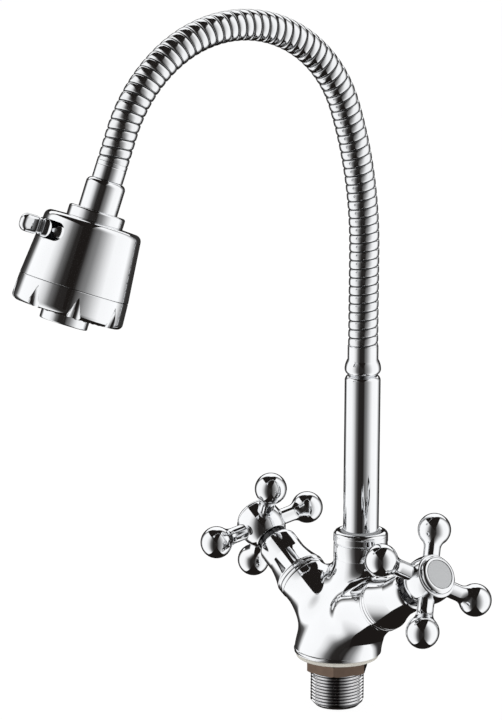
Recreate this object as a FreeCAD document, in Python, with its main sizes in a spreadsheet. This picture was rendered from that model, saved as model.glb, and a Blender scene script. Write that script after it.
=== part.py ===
# Kitchen mixer tap: Y-shaped cast body on a threaded shank, two cross handles on
# slanting arms, a straight spout tube, a stay-put ribbed hose and a two-way spray head.
# Millimetres, +Z up, the deck is z = 0, the front is -Y, the hot side is -X.
import FreeCAD, Part
import math
import os
import re
import Sketcher

# Driving sizes: name, value, meaning
SIZES = [
    ("gasket_height", 2.5, "base gasket, height"),
    ("gasket_radius", 25.6, "base gasket, outer radius"),
    ("gasket_shank_gap", 0.7, "base gasket and slip washer, gap round the shank"),
    ("base_radius", 26.5, "casting, radius at its foot"),
    ("trunk_radius", 27.0, "casting, radius of the upright trunk"),
    ("trunk_straight", 19.0, "casting, height of the straight trunk"),
    ("trunk_dome", 19.0, "casting, height of the dome above the trunk"),
    ("dome_bulge_radius", 34.0, "casting, radius of the dome's curve"),
    ("foot_round", 1.0, "casting, rounding at the foot"),
    ("shank_radius", 16.5, "threaded shank, outer radius"),
    ("shank_length", 31.2, "threaded shank, length below the deck"),
    ("shank_bore_radius", 13.0, "threaded shank, bore radius"),
    ("shank_chamfer", 3.0, "threaded shank, chamfer at its lower end"),
    ("shank_socket_radius", 14.9, "threaded shank, radius of the part screwed into the casting"),
    ("shank_socket_depth", 9.5, "threaded shank, depth in the casting"),
    ("washer_radius", 21.0, "slip washer, outer radius"),
    ("washer_thickness", 1.4, "slip washer, thickness"),
    ("nut_corner_radius", 20.4, "hexagon nut, radius over its corners"),
    ("nut_height", 7.2, "hexagon nut, height"),
    ("nut_turn", 13.0, "hexagon nut, turn from the front view, degrees"),
    ("nut_corner_chamfer", 0.8, "hexagon nut, chamfer of its corners"),
    ("thread_gap", 0.05, "gap between a male thread and its nut"),
    ("inlet_offset", 6.6, "water inlets, distance from the centre line"),
    ("inlet_radius", 4.5, "water inlets, radius of the tapped hole"),
    ("inlet_depth", 10.0, "water inlets, depth of the tapped hole"),
    ("passage_radius", 2.8, "water passages in the casting, radius"),
    ("spout_set_back", 18.0, "column, distance of its axis behind the shank axis"),
    ("column_radius", 16.7, "column, outer radius"),
    ("column_top", 69.5, "column, height of its top face above the deck"),
    ("column_flare_height", 22.0, "column, height of the flare at its root"),
    ("column_flare", 4.0, "column, growth of its radius at the root"),
    ("column_socket_radius", 14.3, "column, radius of the thread for the spout nut"),
    ("column_socket_depth", 9.0, "column, depth of the thread for the spout nut"),
    ("column_bore_radius", 12.5, "column, bore radius"),
    ("column_bore_depth", 24.0, "column, bore depth from its top face"),
    ("arm_rise", 32.0, "arms, rise above the level, degrees"),
    ("arm_set_back", 3.6, "arms, distance of their plane behind the shank axis"),
    ("arm_cross_height", 16.8, "arms, height where their axes meet"),
    ("arm_end", 44.8, "arms, distance from that point to the bonnet seat"),
    ("arm_seat_radius", 16.3, "arms, radius at the bonnet seat"),
    ("arm_seat_land", 2.2, "arms, width of the land at the bonnet seat"),
    ("arm_waist_radius", 15.7, "arms, radius at the waist"),
    ("arm_waist_gap", 6.0, "arms, distance of the waist from the seat"),
    ("arm_root_radius", 19.4, "arms, radius where they swell into the trunk"),
    ("arm_root_distance", 21.0, "arms, distance of that swelling from the crossing"),
    ("arm_flare_radius", 60.0, "arms, radius of the hollow flare"),
    ("arm_heart_radius", 13.0, "arms, radius at the crossing"),
    ("valve_bore_radius", 10.5, "arms, radius of the valve bore"),
    ("valve_bore_depth", 18.8, "arms, depth of the valve bore"),
    ("bonnet_length", 31.5, "bonnets, length"),
    ("bonnet_base_radius", 16.4, "bonnets, radius at the base"),
    ("bonnet_base_land", 3.2, "bonnets, width of the rim at the base"),
    ("bonnet_waist_radius", 12.7, "bonnets, radius of the barrel"),
    ("bonnet_waist_distance", 17.5, "bonnets, distance of the barrel from the base"),
    ("bonnet_flare_radius", 60.0, "bonnets, radius of the hollow flare"),
    ("bonnet_front_radius", 11.3, "bonnets, radius of the front rim"),
    ("bonnet_front_curve", 5.0, "bonnets, radius of the rounded front"),
    ("bonnet_front_run", 3.4, "bonnets, length of the rounded front"),
    ("bonnet_cavity_radius", 13.2, "bonnets, radius inside the base"),
    ("bonnet_cavity_depth", 6.0, "bonnets, depth inside the base"),
    ("barrel_radius", 8.4, "valves, radius of the barrel"),
    ("barrel_gap", 0.25, "valves, gap between the barrel and the bonnet"),
    ("valve_flange_radius", 12.4, "valves, radius of the flange"),
    ("valve_flange_height", 3.6, "valves, height of the flange"),
    ("valve_neck_radius", 6.8, "valves, radius of the neck at the front"),
    ("valve_disc_radius", 7.6, "valves, radius of the ceramic discs"),
    ("valve_disc_height", 3.2, "valves, height of one ceramic disc"),
    ("valve_port_radius", 2.2, "valves, radius of the port in the discs"),
    ("valve_port_offset", 3.8, "valves, distance of the port from the axis"),
    ("valve_seal_height", 2.4, "valves, height of the rubber seat seal"),
    ("window_radius", 2.6, "valves, radius of the side windows"),
    ("spindle_radius", 4.2, "spindles, radius of the stem"),
    ("spindle_foot_height", 2.6, "spindles, height of the driving foot"),
    ("spindle_head_length", 9.2, "spindles, length of the splined head in the handle"),
    ("spindle_gap", 0.05, "spindles, running gap in the valve neck"),
    ("ring_length", 3.7, "gland rings, length"),
    ("ring_radius", 10.3, "gland rings, outer radius"),
    ("ring_groove_radius", 1.6, "gland rings, radius of one flute"),
    ("ring_groove_count", 10, "gland rings, number of flutes"),
    ("hub_gap", 0.8, "handles, gap behind the hub"),
    ("hub_back", 11.5, "handles, length of the hub behind the ball plane"),
    ("hub_fore", 8.8, "handles, length of the hub before the ball plane"),
    ("hub_rear_radius", 10.5, "handles, radius of the hub at its rear"),
    ("hub_radius", 14.6, "handles, radius of the hub at the ball plane"),
    ("hub_bulge_radius", 18.4, "handles, radius of the hub's curve"),
    ("hub_lip_radius", 13.5, "handles, radius of the hub at its front"),
    ("hub_front_curve", 36.0, "handles, radius of the front part's curve"),
    ("hub_lip_round", 0.8, "handles, rounding of the front lip"),
    ("hub_well_radius", 8.0, "handles, radius of the screw well"),
    ("hub_well_depth", 8.0, "handles, depth of the screw well"),
    ("hub_web", 2.8, "handles, thickness of the web under the screw head"),
    ("ball_reach", 34.5, "handles, distance of the balls from the handle axis"),
    ("ball_radius", 10.1, "handles, radius of the balls"),
    ("stem_radius", 5.1, "handles, radius of the stems"),
    ("ball_shoulder_radius", 8.6, "handles, radius of the hollow between stem and ball"),
    ("hot_handle_turn", -13.0, "hot handle, turn of its cross at rest, degrees"),
    ("cold_handle_turn", -32.0, "cold handle, turn of its cross at rest, degrees"),
    ("screw_radius", 2.5, "handle screws, shank radius"),
    ("screw_head_radius", 4.6, "handle screws, head radius"),
    ("screw_head_height", 2.6, "handle screws, head height"),
    ("screw_length", 8.0, "handle screws, shank length"),
    ("cap_radius", 11.9, "index caps, radius"),
    ("cap_rim", 1.0, "index caps, height of the straight rim"),
    ("cap_height", 3.0, "index caps, height"),
    ("cap_crown_radius", 9.3, "index caps, radius at the crown"),
    ("cap_crown_curve", 3.4, "index caps, radius of the shoulder curve"),
    ("cap_skirt_length", 4.0, "index caps, length of the plug in the well"),
    ("cap_skirt_wall", 1.5, "index caps, wall of the plug in the well"),
    ("index_radius", 8.9, "index discs, radius"),
    ("index_depth", 1.2, "index discs, thickness"),
    ("fit_gap", 0.1, "gap round a piece seated in a recess"),
    ("spout_nut_radius", 16.9, "spout nut, radius"),
    ("spout_nut_height", 7.5, "spout nut, height above the column"),
    ("spout_nut_round", 2.6, "spout nut, rounding at the top"),
    ("spout_nut_groove", 0.5, "spout nut, depth of the shadow groove below it"),
    ("bush_wall", 1.25, "spout bush, wall thickness"),
    ("bush_proud", 0.5, "spout bush, height above the nut"),
    ("tube_radius", 11.0, "spout tube, outer radius"),
    ("tube_wall", 1.0, "spout tube, wall thickness"),
    ("tube_top", 175.2, "spout tube, height of its top above the deck"),
    ("tube_top_radius", 9.3, "spout tube, radius of its rolled top"),
    ("tube_top_roll", 2.6, "spout tube, height of the rolled top"),
    ("turn_gap", 0.05, "radial running gap of the swivels"),
    ("foot_height", 12.0, "spout foot, height of the sealing part"),
    ("foot_spigot", 14.0, "spout foot, length of the spigot in the tube"),
    ("foot_bore_radius", 7.6, "spout foot, bore radius"),
    ("seal_section", 1.3, "spout seals, radius of the rubber cord"),
    ("seal_pitch", 5.2, "spout seals, distance between the two"),
    ("collar_groove_radius", 8.4, "hose collar, radius of the neck groove"),
    ("collar_bulge_radius", 11.15, "hose collar, radius of the bulge"),
    ("collar_bulge_height", 3.8, "hose collar, height of the bulge's widest line"),
    ("collar_bulge_curve", 6.5, "hose collar, radius of the bulge's curve"),
    ("collar_shoulder_height", 10.1, "hose collar, height of the shoulder's end"),
    ("collar_radius", 9.4, "hose collar, radius of the sleeve"),
    ("collar_height", 18.5, "hose collar, height above the tube"),
    ("collar_spigot", 12.0, "hose collar, length of the spigot in the tube"),
    ("hose_radius", 9.2, "hose, outer radius of the ribs"),
    ("hose_root_radius", 8.3, "hose, radius between the ribs"),
    ("hose_bore_radius", 6.1, "hose, bore radius"),
    ("hose_pitch", 5.35, "hose, pitch of the ribs"),
    ("hose_rise", 58.7, "hose, straight length above the collar"),
    ("hose_first_radius", 271.0, "hose, radius of the first bend"),
    ("hose_first_turn", 19.5, "hose, turn of the first bend, degrees"),
    ("hose_top_radius", 78.5, "hose, radius of the top bend"),
    ("hose_top_turn", 106.5, "hose, turn of the top bend, degrees"),
    ("hose_last_radius", 90.0, "hose, radius of the last bend"),
    ("hose_last_turn", 34.0, "hose, turn of the last bend, degrees"),
    ("hose_tip_straight", 18.4, "hose, straight length before the head"),
    ("liner_radius", 5.4, "hose liner, outer radius"),
    ("liner_bore_radius", 4.0, "hose liner, bore radius"),
    ("liner_grip", 8.0, "hose liner, length held in each end fitting"),
    ("spout_swing", 8.0, "spout, turn from the front towards the hot side, degrees"),
    ("tip_length", 10.6, "hose tip, length of the sleeve"),
    ("tip_radius", 9.2, "hose tip, radius of the sleeve"),
    ("tip_neck_radius", 6.6, "hose tip, radius of the neck in the nut"),
    ("tip_flange_radius", 9.6, "hose tip, radius of the flange in the nut"),
    ("tip_flange_height", 2.0, "hose tip, height of the flange"),
    ("tip_bore_radius", 3.9, "hose tip, bore radius"),
    ("swivel_length", 18.3, "swivel nut, length"),
    ("swivel_radius", 11.65, "swivel nut, outer radius"),
    ("swivel_round", 3.2, "swivel nut, rounding at the top"),
    ("swivel_lip", 3.8, "swivel nut, thickness of the top lip"),
    ("swivel_bore_radius", 10.2, "swivel nut, bore radius"),
    ("head_washer_height", 2.0, "hose washer, height"),
    ("flange_radius", 16.8, "head inlet, radius of the flange"),
    ("flange_height", 6.3, "head inlet, height of the flange"),
    ("flange_round", 1.4, "head inlet, rounding of the flange"),
    ("inlet_bore_radius", 5.5, "head inlet, bore radius"),
    ("inlet_plug_radius", 12.0, "head inlet, radius of the plug in the shell"),
    ("inlet_plug_length", 3.4, "head inlet, length of the plug in the shell"),
    ("shell_length", 39.8, "head shell, length"),
    ("shell_top_radius", 29.0, "head shell, radius at the shoulder"),
    ("shell_radius", 32.5, "head shell, radius at the parting line"),
    ("shell_shoulder_round", 3.8, "head shell, rounding of the shoulder"),
    ("shell_top_drop", 0.4, "head shell, fall of the top face to the shoulder"),
    ("shell_wall", 2.6, "head shell, wall thickness"),
    ("slot_centre", 11.6, "selector slot, distance of its middle from the shell's top"),
    ("slot_height", 11.2, "selector slot, height"),
    ("slot_half_angle", 30.0, "selector slot, half of its angle, degrees"),
    ("lever_gap", 0.35, "selector lever, gap in the slot"),
    ("lever_span", 42.0, "selector lever, angle of its plate, degrees"),
    ("lever_proud", 0.3, "selector lever, height of the plate above the shell"),
    ("tab_width", 6.4, "selector lever, width of the finger tab"),
    ("tab_reach", 10.4, "selector lever, height of the finger tab above the shell"),
    ("tab_shift", 6.0, "selector lever, angle of the tab from the plate's middle, degrees"),
    ("lever_ring_clear", 1.1, "selector lever, gap between its ring and the shell"),
    ("lever_ring_wall", 3.0, "selector lever, wall of its ring"),
    ("lever_ring_height", 6.8, "selector lever, height of its ring"),
    ("lever_port_radius", 2.0, "selector lever, radius of the ports in its ring"),
    ("core_flange_height", 2.2, "diverter core, height of its flange"),
    ("core_groove_depth", 4.75, "diverter core, depth of its gallery"),
    ("manifold_gap", 0.95, "manifold, gap inside the shell's wall"),
    ("ring_spigot", 4.0, "lower ring, length screwed into the shell"),
    ("ring_height", 15.9, "lower ring, height"),
    ("lower_ring_flare", 0.7, "lower ring, growth of its radius towards the rim"),
    ("lower_ring_round", 3.4, "lower ring, rounding at the rim"),
    ("lower_ring_wall", 5.1, "lower ring, wall thickness"),
    ("notch_count", 8, "lower ring, number of notches"),
    ("notch_height", 12.6, "lower ring, height of a notch"),
    ("notch_half_width", 4.6, "lower ring, half width of a notch at the rim"),
    ("notch_depth", 3.6, "lower ring, depth of a notch at the rim"),
    ("plate_recess", 1.0, "spray plate, distance above the rim"),
    ("plate_thickness", 3.0, "spray plate, thickness"),
    ("jet_radius", 0.9, "spray plate, radius of a jet nub"),
    ("jet_height", 1.6, "spray plate, height of a jet nub"),
    ("jet_margin", 1.05, "spray plate, distance of the outer jets from the gallery's edge"),
    ("jet_count", 24, "spray plate, number of jets in the circle"),
    ("nozzle_radius", 14.35, "aerator housing, radius"),
    ("nozzle_proud", 5.9, "aerator housing, length below the rim"),
    ("nozzle_length", 20.0, "aerator housing, length"),
    ("nozzle_wall", 1.6, "aerator housing, wall thickness"),
    ("nozzle_round", 0.8, "aerator housing, rounding at its mouth"),
    ("mat_thickness", 1.5, "jet mat, thickness"),
    ("gallery_depth", 6.0, "manifold, depth of the ring gallery above the jets"),
    ("gallery_wall", 2.0, "manifold, wall beside the gallery"),
    ("screen_depth", 1.2, "aerator screen, distance inside the mouth"),
    ("screen_thickness", 1.6, "aerator screen, thickness"),
]
ALIASES = {name for name, value, meaning in SIZES}

doc = FreeCAD.newDocument("kitchen_mixer_tap")
sheet = doc.addObject("Spreadsheet::Sheet", "Sizes")
for row, (name, value, meaning) in enumerate(SIZES, 1):
    sheet.set("A%d" % row, meaning)
    sheet.set("B%d" % row, str(value))
    sheet.setAlias("B%d" % row, name)
doc.recompute()

# An object that works out an expression on the sheet for this script
gauge = doc.addObject("App::FeaturePython", "Gauge")
gauge.addProperty("App::PropertyFloat", "Reading")


def bind(text):
    """The expression with each size's name pointed at the sheet."""
    return re.sub("[a-z_]+", lambda m: "Sizes." + m.group() if m.group() in ALIASES else m.group(), text)


def size(text):
    """The value of an expression on the sheet."""
    gauge.setExpression("Reading", bind(text))
    gauge.recompute()
    return gauge.Reading


nodes = []


def keep(piece, label, place=None):
    """Name a finished sub-part and put it in its place."""
    piece.Label = label
    if place is not None:
        piece.Placement = place
    nodes.append(piece)
    return piece


# Frames of reference: the shank, the column, the two arms and the spray head
def on_shank(height="0"):
    return FreeCAD.Placement(FreeCAD.Vector(0, 0, size(height)), FreeCAD.Rotation())


def on_column(height="0"):
    return FreeCAD.Placement(FreeCAD.Vector(0, size("spout_set_back"), size(height)), FreeCAD.Rotation())


def on_arm(side, distance="0", turn=0.0):
    """A frame on an arm's axis, its Z pointing out along the arm. side is 1 for cold, -1 for hot."""
    rise = math.radians(size("arm_rise"))
    away = size(distance)
    base = FreeCAD.Vector(
        side * math.cos(rise) * away, size("arm_set_back"), size("arm_cross_height") + math.sin(rise) * away
    )
    lean = FreeCAD.Rotation(FreeCAD.Vector(0, 1, 0), side * (90.0 - size("arm_rise")))
    return FreeCAD.Placement(base, lean * FreeCAD.Rotation(FreeCAD.Vector(0, 0, 1), turn))


def spout_frame():
    """Turns the plane x = 0 of the upright spout into the plane that it stands in at rest."""
    swing = FreeCAD.Rotation(FreeCAD.Vector(0, 0, 1), -size("spout_swing"))
    return FreeCAD.Placement(FreeCAD.Vector(0, size("spout_set_back"), 0), swing)


def hose_route():
    """The hose's centre line in the spout's plane: (kind, start, end, middle, turn so far) in order."""
    pieces = []
    here = FreeCAD.Vector(0, 0, size("tube_top + collar_height"))
    angle = 0.0

    def heading(turned):
        return FreeCAD.Vector(0, -math.sin(turned), math.cos(turned))

    def straight(length):
        end = here + heading(angle) * length
        pieces.append(("line", here, end, None, angle, length))
        return end

    here = straight(size("hose_rise"))
    for bend in ("hose_first", "hose_top", "hose_last"):
        radius = size(bend + "_radius")
        turn = math.radians(size(bend + "_turn"))
        inward = FreeCAD.Vector(0, -math.cos(angle), -math.sin(angle))
        centre = here + inward * radius
        spots = []
        for part in (0.5, 1.0):
            now = angle + turn * part
            spots.append(centre - FreeCAD.Vector(0, -math.cos(now), -math.sin(now)) * radius)
        pieces.append(("arc", here, spots[1], spots[0], angle, radius * turn))
        here = spots[1]
        angle += turn
    here = straight(size("hose_tip_straight"))
    return pieces, here, angle


route, hose_end, hose_turn = hose_route()


def on_head(distance="0"):
    """A frame on the spray head's axis, its Z pointing out of the nozzle and its Y away from the column."""
    flat = FreeCAD.Placement(
        hose_end, FreeCAD.Rotation(FreeCAD.Vector(1, 0, 0), math.degrees(hose_turn))
    )
    along = FreeCAD.Placement(FreeCAD.Vector(0, 0, size(distance)), FreeCAD.Rotation())
    return spout_frame().multiply(flat).multiply(along)


# Ways of making a piece
def origin_part(body, role):
    return [feature for feature in body.Origin.OriginFeatures if feature.Role == role][0]


def fix_point(sketch, index, spot, across, up):
    """Tie one end of a sketch edge to the sheet by its distance from the two axes."""
    if across == "0" and up == "0":
        sketch.addConstraint(Sketcher.Constraint("Coincident", index, spot, -1, 1))
        return
    for kind, text, axis in (("DistanceX", across, -2), ("DistanceY", up, -1)):
        if text == "0":
            sketch.addConstraint(Sketcher.Constraint("PointOnObject", index, spot, axis))
            continue
        number = sketch.addConstraint(Sketcher.Constraint(kind, -1, 1, index, spot, size(text)))
        sketch.setExpression("Constraints[%d]" % number, bind(text))


def draw_outline(sketch, outline):
    """Draw a closed outline. A point is (across, up) for a straight edge that arrives there, or
    (across, up, radius, "round" or "hollow") for an arc. It runs anticlockwise."""
    points = [(size(point[0]), size(point[1])) for point in outline]
    count = len(outline)
    ends = []
    for i in range(count):
        j = (i + 1) % count
        start = FreeCAD.Vector(points[i][0], points[i][1], 0)
        stop = FreeCAD.Vector(points[j][0], points[j][1], 0)
        if len(outline[j]) == 2:
            sketch.addGeometry(Part.LineSegment(start, stop))
            ends.append((1, 2))
            continue
        chord = stop - start
        left = FreeCAD.Vector(-chord.y, chord.x, 0).normalize()
        side = 1 if outline[j][3] == "round" else -1
        radius = size(outline[j][2])
        rise = math.sqrt(max(radius**2 - (chord.Length / 2) ** 2, 0))
        centre = (start + stop) * 0.5 + left * (side * rise)
        middle = centre - left * (side * radius)
        index = sketch.addGeometry(Part.ArcOfCircle(start, middle, stop))
        first = sketch.getPoint(index, 1)
        ends.append((1, 2) if (first - start).Length < (first - stop).Length else (2, 1))
        number = sketch.addConstraint(Sketcher.Constraint("Radius", index, radius))
        sketch.setExpression("Constraints[%d]" % number, bind(outline[j][2]))
    for i in range(count):
        j = (i + 1) % count
        sketch.addConstraint(Sketcher.Constraint("Coincident", i, ends[i][1], j, ends[j][0]))
        fix_point(sketch, i, ends[i][0], outline[i][0], outline[i][1])


def new_sketch(body, name, role, offset=None):
    sketch = body.newObject("Sketcher::SketchObject", name)
    sketch.AttachmentSupport = [(origin_part(body, role), "")]
    sketch.MapMode = "FlatFace"
    if offset is not None:
        sketch.AttachmentOffset = offset
    return sketch


def ring_edges(shape, radius, height):
    """Names of the circular edges about Z with this radius at this height."""
    found = []
    for number, edge in enumerate(shape.Edges, 1):
        if edge.Degenerated:
            continue
        if not isinstance(edge.Curve, Part.Circle) or abs(edge.Curve.Radius - radius) > 1e-4:
            continue
        centre = edge.Curve.Center
        if math.hypot(centre.x, centre.y) < 1e-4 and abs(centre.z - height) < 1e-4:
            found.append("Edge%d" % number)
    return found


def turned(label, outline, rounds=()):
    """A body turned about its own Z axis from an outline of (radius, height) points.
    rounds lists (radius, height, fillet) for the edges that are rounded."""
    body = doc.addObject("PartDesign::Body", label)
    sketch = new_sketch(body, label + "_outline", "XZ_Plane")
    draw_outline(sketch, outline)
    turning = body.newObject("PartDesign::Revolution", label + "_turning")
    turning.Profile = sketch
    turning.ReferenceAxis = (sketch, ["V_Axis"])
    turning.Angle = 360.0
    doc.recompute()
    for number, (radius, height, fillet) in enumerate(rounds):
        edges = ring_edges(body.Tip.Shape, size(radius), size(height))
        rounding = body.newObject("PartDesign::Fillet", "%s_round_%d" % (label, number))
        rounding.Base = (turning if number == 0 else last, edges)
        rounding.setExpression("Radius", bind(fillet))
        last = rounding
        doc.recompute()
    return body


def cylinder(name, radius, height, place):
    rod = doc.addObject("Part::Cylinder", name)
    rod.setExpression("Radius", bind(radius))
    rod.setExpression("Height", bind(height))
    rod.Placement = place
    return rod


def fuse(name, pieces):
    joined = doc.addObject("Part::MultiFuse", name)
    joined.Shapes = pieces
    return joined


def cut(name, base, tool):
    result = doc.addObject("Part::Cut", name)
    result.Base = base
    result.Tool = tool
    return result


# Cast body: trunk, heel, column and two arms in one casting
trunk = turned("trunk", [
    ("0", "gasket_height"),
    ("base_radius", "gasket_height"),
    ("trunk_radius", "gasket_height + foot_round * 2"),
    ("trunk_radius", "gasket_height + trunk_straight"),
    ("0", "gasket_height + trunk_straight + trunk_dome", "dome_bulge_radius", "round"),
], [("base_radius", "gasket_height", "foot_round")])

column = turned("column", [
    ("0", "column_top - column_bore_depth - column_flare_height - column_bore_radius"),
    ("column_radius", "column_top - column_bore_depth - column_flare_height - column_bore_radius"),
    ("column_radius + column_flare", "column_top - column_bore_depth - column_flare_height"),
    ("column_radius", "column_top - column_bore_depth + foot_round", "arm_flare_radius", "hollow"),
    ("column_radius", "column_top"),
    ("0", "column_top"),
])
column.Placement = on_column()

arm_outline = [
    ("0", "0"),
    ("arm_heart_radius", "0"),
    ("arm_root_radius", "arm_root_distance", "arm_flare_radius", "round"),
    ("arm_waist_radius", "arm_end - arm_waist_gap", "arm_flare_radius", "hollow"),
    ("arm_seat_radius", "arm_end - arm_seat_land"),
    ("arm_seat_radius", "arm_end"),
    ("0", "arm_end"),
]
arms = []
for side, name in ((-1, "hot"), (1, "cold")):
    arm = turned(name + "_arm", arm_outline)
    arm.Placement = on_arm(side)
    arms.append(arm)

heel_rings = []
heel_steps = (
    ("gasket_height + trunk_straight * 0.25", "0", "trunk_radius - foot_round * 0.2"),
    ("gasket_height + trunk_straight * 0.8", "spout_set_back * 0.12", "trunk_radius - foot_round * 0.2"),
    ("column_top * 0.5", "spout_set_back * 0.66", "trunk_radius * 0.5 + column_radius * 0.5"),
    ("column_top - column_bore_depth + foot_round * 4", "spout_set_back", "column_radius"),
)
for number, (height, back, radius) in enumerate(heel_steps):
    ring = doc.addObject("Part::Circle", "heel_ring_%d" % number)
    ring.setExpression("Radius", bind(radius))
    ring.Placement = FreeCAD.Placement(FreeCAD.Vector(0, size(back), size(height)), FreeCAD.Rotation())
    heel_rings.append(ring)
heel = doc.addObject("Part::Loft", "heel")
heel.Sections = heel_rings
heel.Solid = True
casting_blank = fuse("casting_blank", [trunk, column, heel] + arms)

bores = [turned("column_bores", [
    ("0", "column_top - column_bore_depth"),
    ("column_bore_radius", "column_top - column_bore_depth"),
    ("column_bore_radius", "column_top - column_socket_depth"),
    ("column_socket_radius", "column_top - column_socket_depth"),
    ("column_socket_radius", "column_top + fit_gap"),
    ("0", "column_top + fit_gap"),
])]
bores[0].Placement = on_column()
bores.append(cylinder(
    "shank_socket", "shank_socket_radius + thread_gap", "shank_socket_depth + fit_gap",
    on_shank("gasket_height - fit_gap"),
))
ceiling = "gasket_height + shank_socket_depth"
for side, name in ((-1, "hot"), (1, "cold")):
    bores.append(cylinder(
        name + "_valve_bore", "valve_bore_radius", "valve_bore_depth + fit_gap",
        on_arm(side, "arm_end - valve_bore_depth"),
    ))
    inlet = on_shank(ceiling + " - fit_gap")
    inlet.Base.x = side * size("inlet_offset")
    bores.append(cylinder(name + "_inlet_hole", "inlet_radius", "inlet_depth + fit_gap", inlet))
    seat = on_arm(side, "arm_end - valve_bore_depth").Base
    start = FreeCAD.Vector(side * size("inlet_offset"), 0, size(ceiling + " + inlet_depth - passage_radius"))
    window = on_arm(side, "arm_end - valve_bore_depth * 0.5").Base
    floor = FreeCAD.Vector(0, size("spout_set_back"), size("column_top - column_bore_depth + passage_radius"))
    for use, a, b in (("feed", start, seat), ("outflow", window, floor)):
        run = cylinder("%s_%s" % (name, use), "passage_radius", "passage_radius",
                       FreeCAD.Placement(a, FreeCAD.Rotation(FreeCAD.Vector(0, 0, 1), b - a)))
        run.setExpression("Height", None)
        run.Height = (b - a).Length
        bores.append(run)
casting_bores = fuse("casting_bores", bores)
keep(cut("body_casting", casting_blank, casting_bores), "body_casting")

# Shank, gasket, slip washer and hexagon nut
shank = turned("mounting_shank", [
    ("shank_bore_radius", "0"),
    ("shank_radius - shank_chamfer", "0"),
    ("shank_radius", "shank_chamfer"),
    ("shank_radius", "shank_length + gasket_height"),
    ("shank_socket_radius", "shank_length + gasket_height"),
    ("shank_socket_radius", "shank_length + gasket_height + shank_socket_depth"),
    ("shank_bore_radius", "shank_length + gasket_height + shank_socket_depth"),
])
keep(shank, "mounting_shank", on_shank("-shank_length"))

gasket = turned("base_gasket", [
    ("shank_radius + gasket_shank_gap", "0"),
    ("gasket_radius", "0"),
    ("gasket_radius", "gasket_height"),
    ("shank_radius + gasket_shank_gap", "gasket_height"),
], [("gasket_radius", "0", "gasket_height * 0.3")])
keep(gasket, "base_gasket", on_shank())

washer = turned("slip_washer", [
    ("shank_radius + gasket_shank_gap", "0"),
    ("washer_radius", "0"),
    ("washer_radius", "washer_thickness"),
    ("shank_radius + gasket_shank_gap", "washer_thickness"),
])
keep(washer, "slip_washer", on_shank("-washer_thickness"))

hexagon = doc.addObject("Part::Prism", "nut_hexagon")
hexagon.Polygon = 6
hexagon.setExpression("Circumradius", bind("nut_corner_radius"))
hexagon.setExpression("Height", bind("nut_height"))
nut_rim = turned("nut_rim", [
    ("shank_radius + thread_gap", "0"),
    ("nut_corner_radius - nut_corner_chamfer", "0"),
    ("nut_corner_radius", "nut_corner_chamfer * 0.6"),
    ("nut_corner_radius", "nut_height - nut_corner_chamfer * 0.6"),
    ("nut_corner_radius - nut_corner_chamfer", "nut_height"),
    ("shank_radius + thread_gap", "nut_height"),
])
nut_place = FreeCAD.Placement(
    FreeCAD.Vector(0, 0, size("-washer_thickness - nut_height")),
    FreeCAD.Rotation(FreeCAD.Vector(0, 0, 1), size("nut_turn")),
)
hexagon.Placement = nut_place
nut_rim.Placement = nut_place
nut = doc.addObject("Part::Common", "lock_nut")
nut.Base = nut_rim
nut.Tool = hexagon
keep(nut, "lock_nut")

# Spout nut and its bush on the column
nut_inner = "tube_radius + turn_gap + bush_wall"
spout_nut = turned("spout_nut", [
    (nut_inner + " + fit_gap", "0"),
    ("column_socket_radius - thread_gap", "0"),
    ("column_socket_radius - thread_gap", "column_socket_depth - fit_gap"),
    ("spout_nut_radius - spout_nut_groove", "column_socket_depth - fit_gap"),
    ("spout_nut_radius - spout_nut_groove", "column_socket_depth + spout_nut_groove"),
    ("spout_nut_radius", "column_socket_depth + spout_nut_groove * 2"),
    ("spout_nut_radius", "column_socket_depth + spout_nut_height - spout_nut_round"),
    ("spout_nut_radius - spout_nut_round", "column_socket_depth + spout_nut_height",
     "spout_nut_round * 1.05", "round"),
    (nut_inner + " + fit_gap", "column_socket_depth + spout_nut_height"),
])
keep(spout_nut, "spout_nut", on_column("column_top - column_socket_depth + fit_gap"))
bush = turned("spout_bush", [
    ("tube_radius + turn_gap", "0"),
    (nut_inner, "0"),
    (nut_inner, "column_socket_depth + spout_nut_height + bush_proud"),
    ("tube_radius + turn_gap", "column_socket_depth + spout_nut_height + bush_proud"),
], [(nut_inner, "column_socket_depth + spout_nut_height + bush_proud", "bush_wall * 0.35")])
keep(bush, "spout_bush", on_column("column_top - column_socket_depth + fit_gap"))

# Spout foot with its two seals, and the tube
foot_radius = "column_bore_radius - turn_gap"
seal_floor = "column_bore_radius - turn_gap - seal_section * 2"
foot_outline = [("foot_bore_radius", "0"), (foot_radius, "0")]
for step in ("0", "seal_pitch"):
    low = "seal_section + " + step
    foot_outline += [
        (foot_radius, low),
        (seal_floor, low),
        (seal_floor, low + " + seal_section * 2"),
        (foot_radius, low + " + seal_section * 2"),
    ]
foot_outline += [
    (foot_radius, "foot_height"),
    ("tube_radius - tube_wall - thread_gap", "foot_height"),
    ("tube_radius - tube_wall - thread_gap", "foot_height + foot_spigot"),
    ("foot_bore_radius", "foot_height + foot_spigot"),
]
spout_foot = turned("spout_foot", foot_outline)
foot_base = "column_top - column_socket_depth - foot_height - turn_gap"
keep(spout_foot, "spout_foot", on_column(foot_base))

rings = []
for number, step in enumerate(("0", "seal_pitch")):
    ring = doc.addObject("Part::Torus", "spout_ring_%d" % number)
    ring.setExpression("Radius1", bind("column_bore_radius - turn_gap - seal_section"))
    ring.setExpression("Radius2", bind("seal_section - thread_gap"))
    ring.Placement = on_column(foot_base + " + seal_section * 2 + " + step)
    rings.append(ring)
spout_seals = doc.addObject("Part::Compound", "spout_seals")
spout_seals.Links = rings
keep(spout_seals, "spout_seals")

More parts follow.
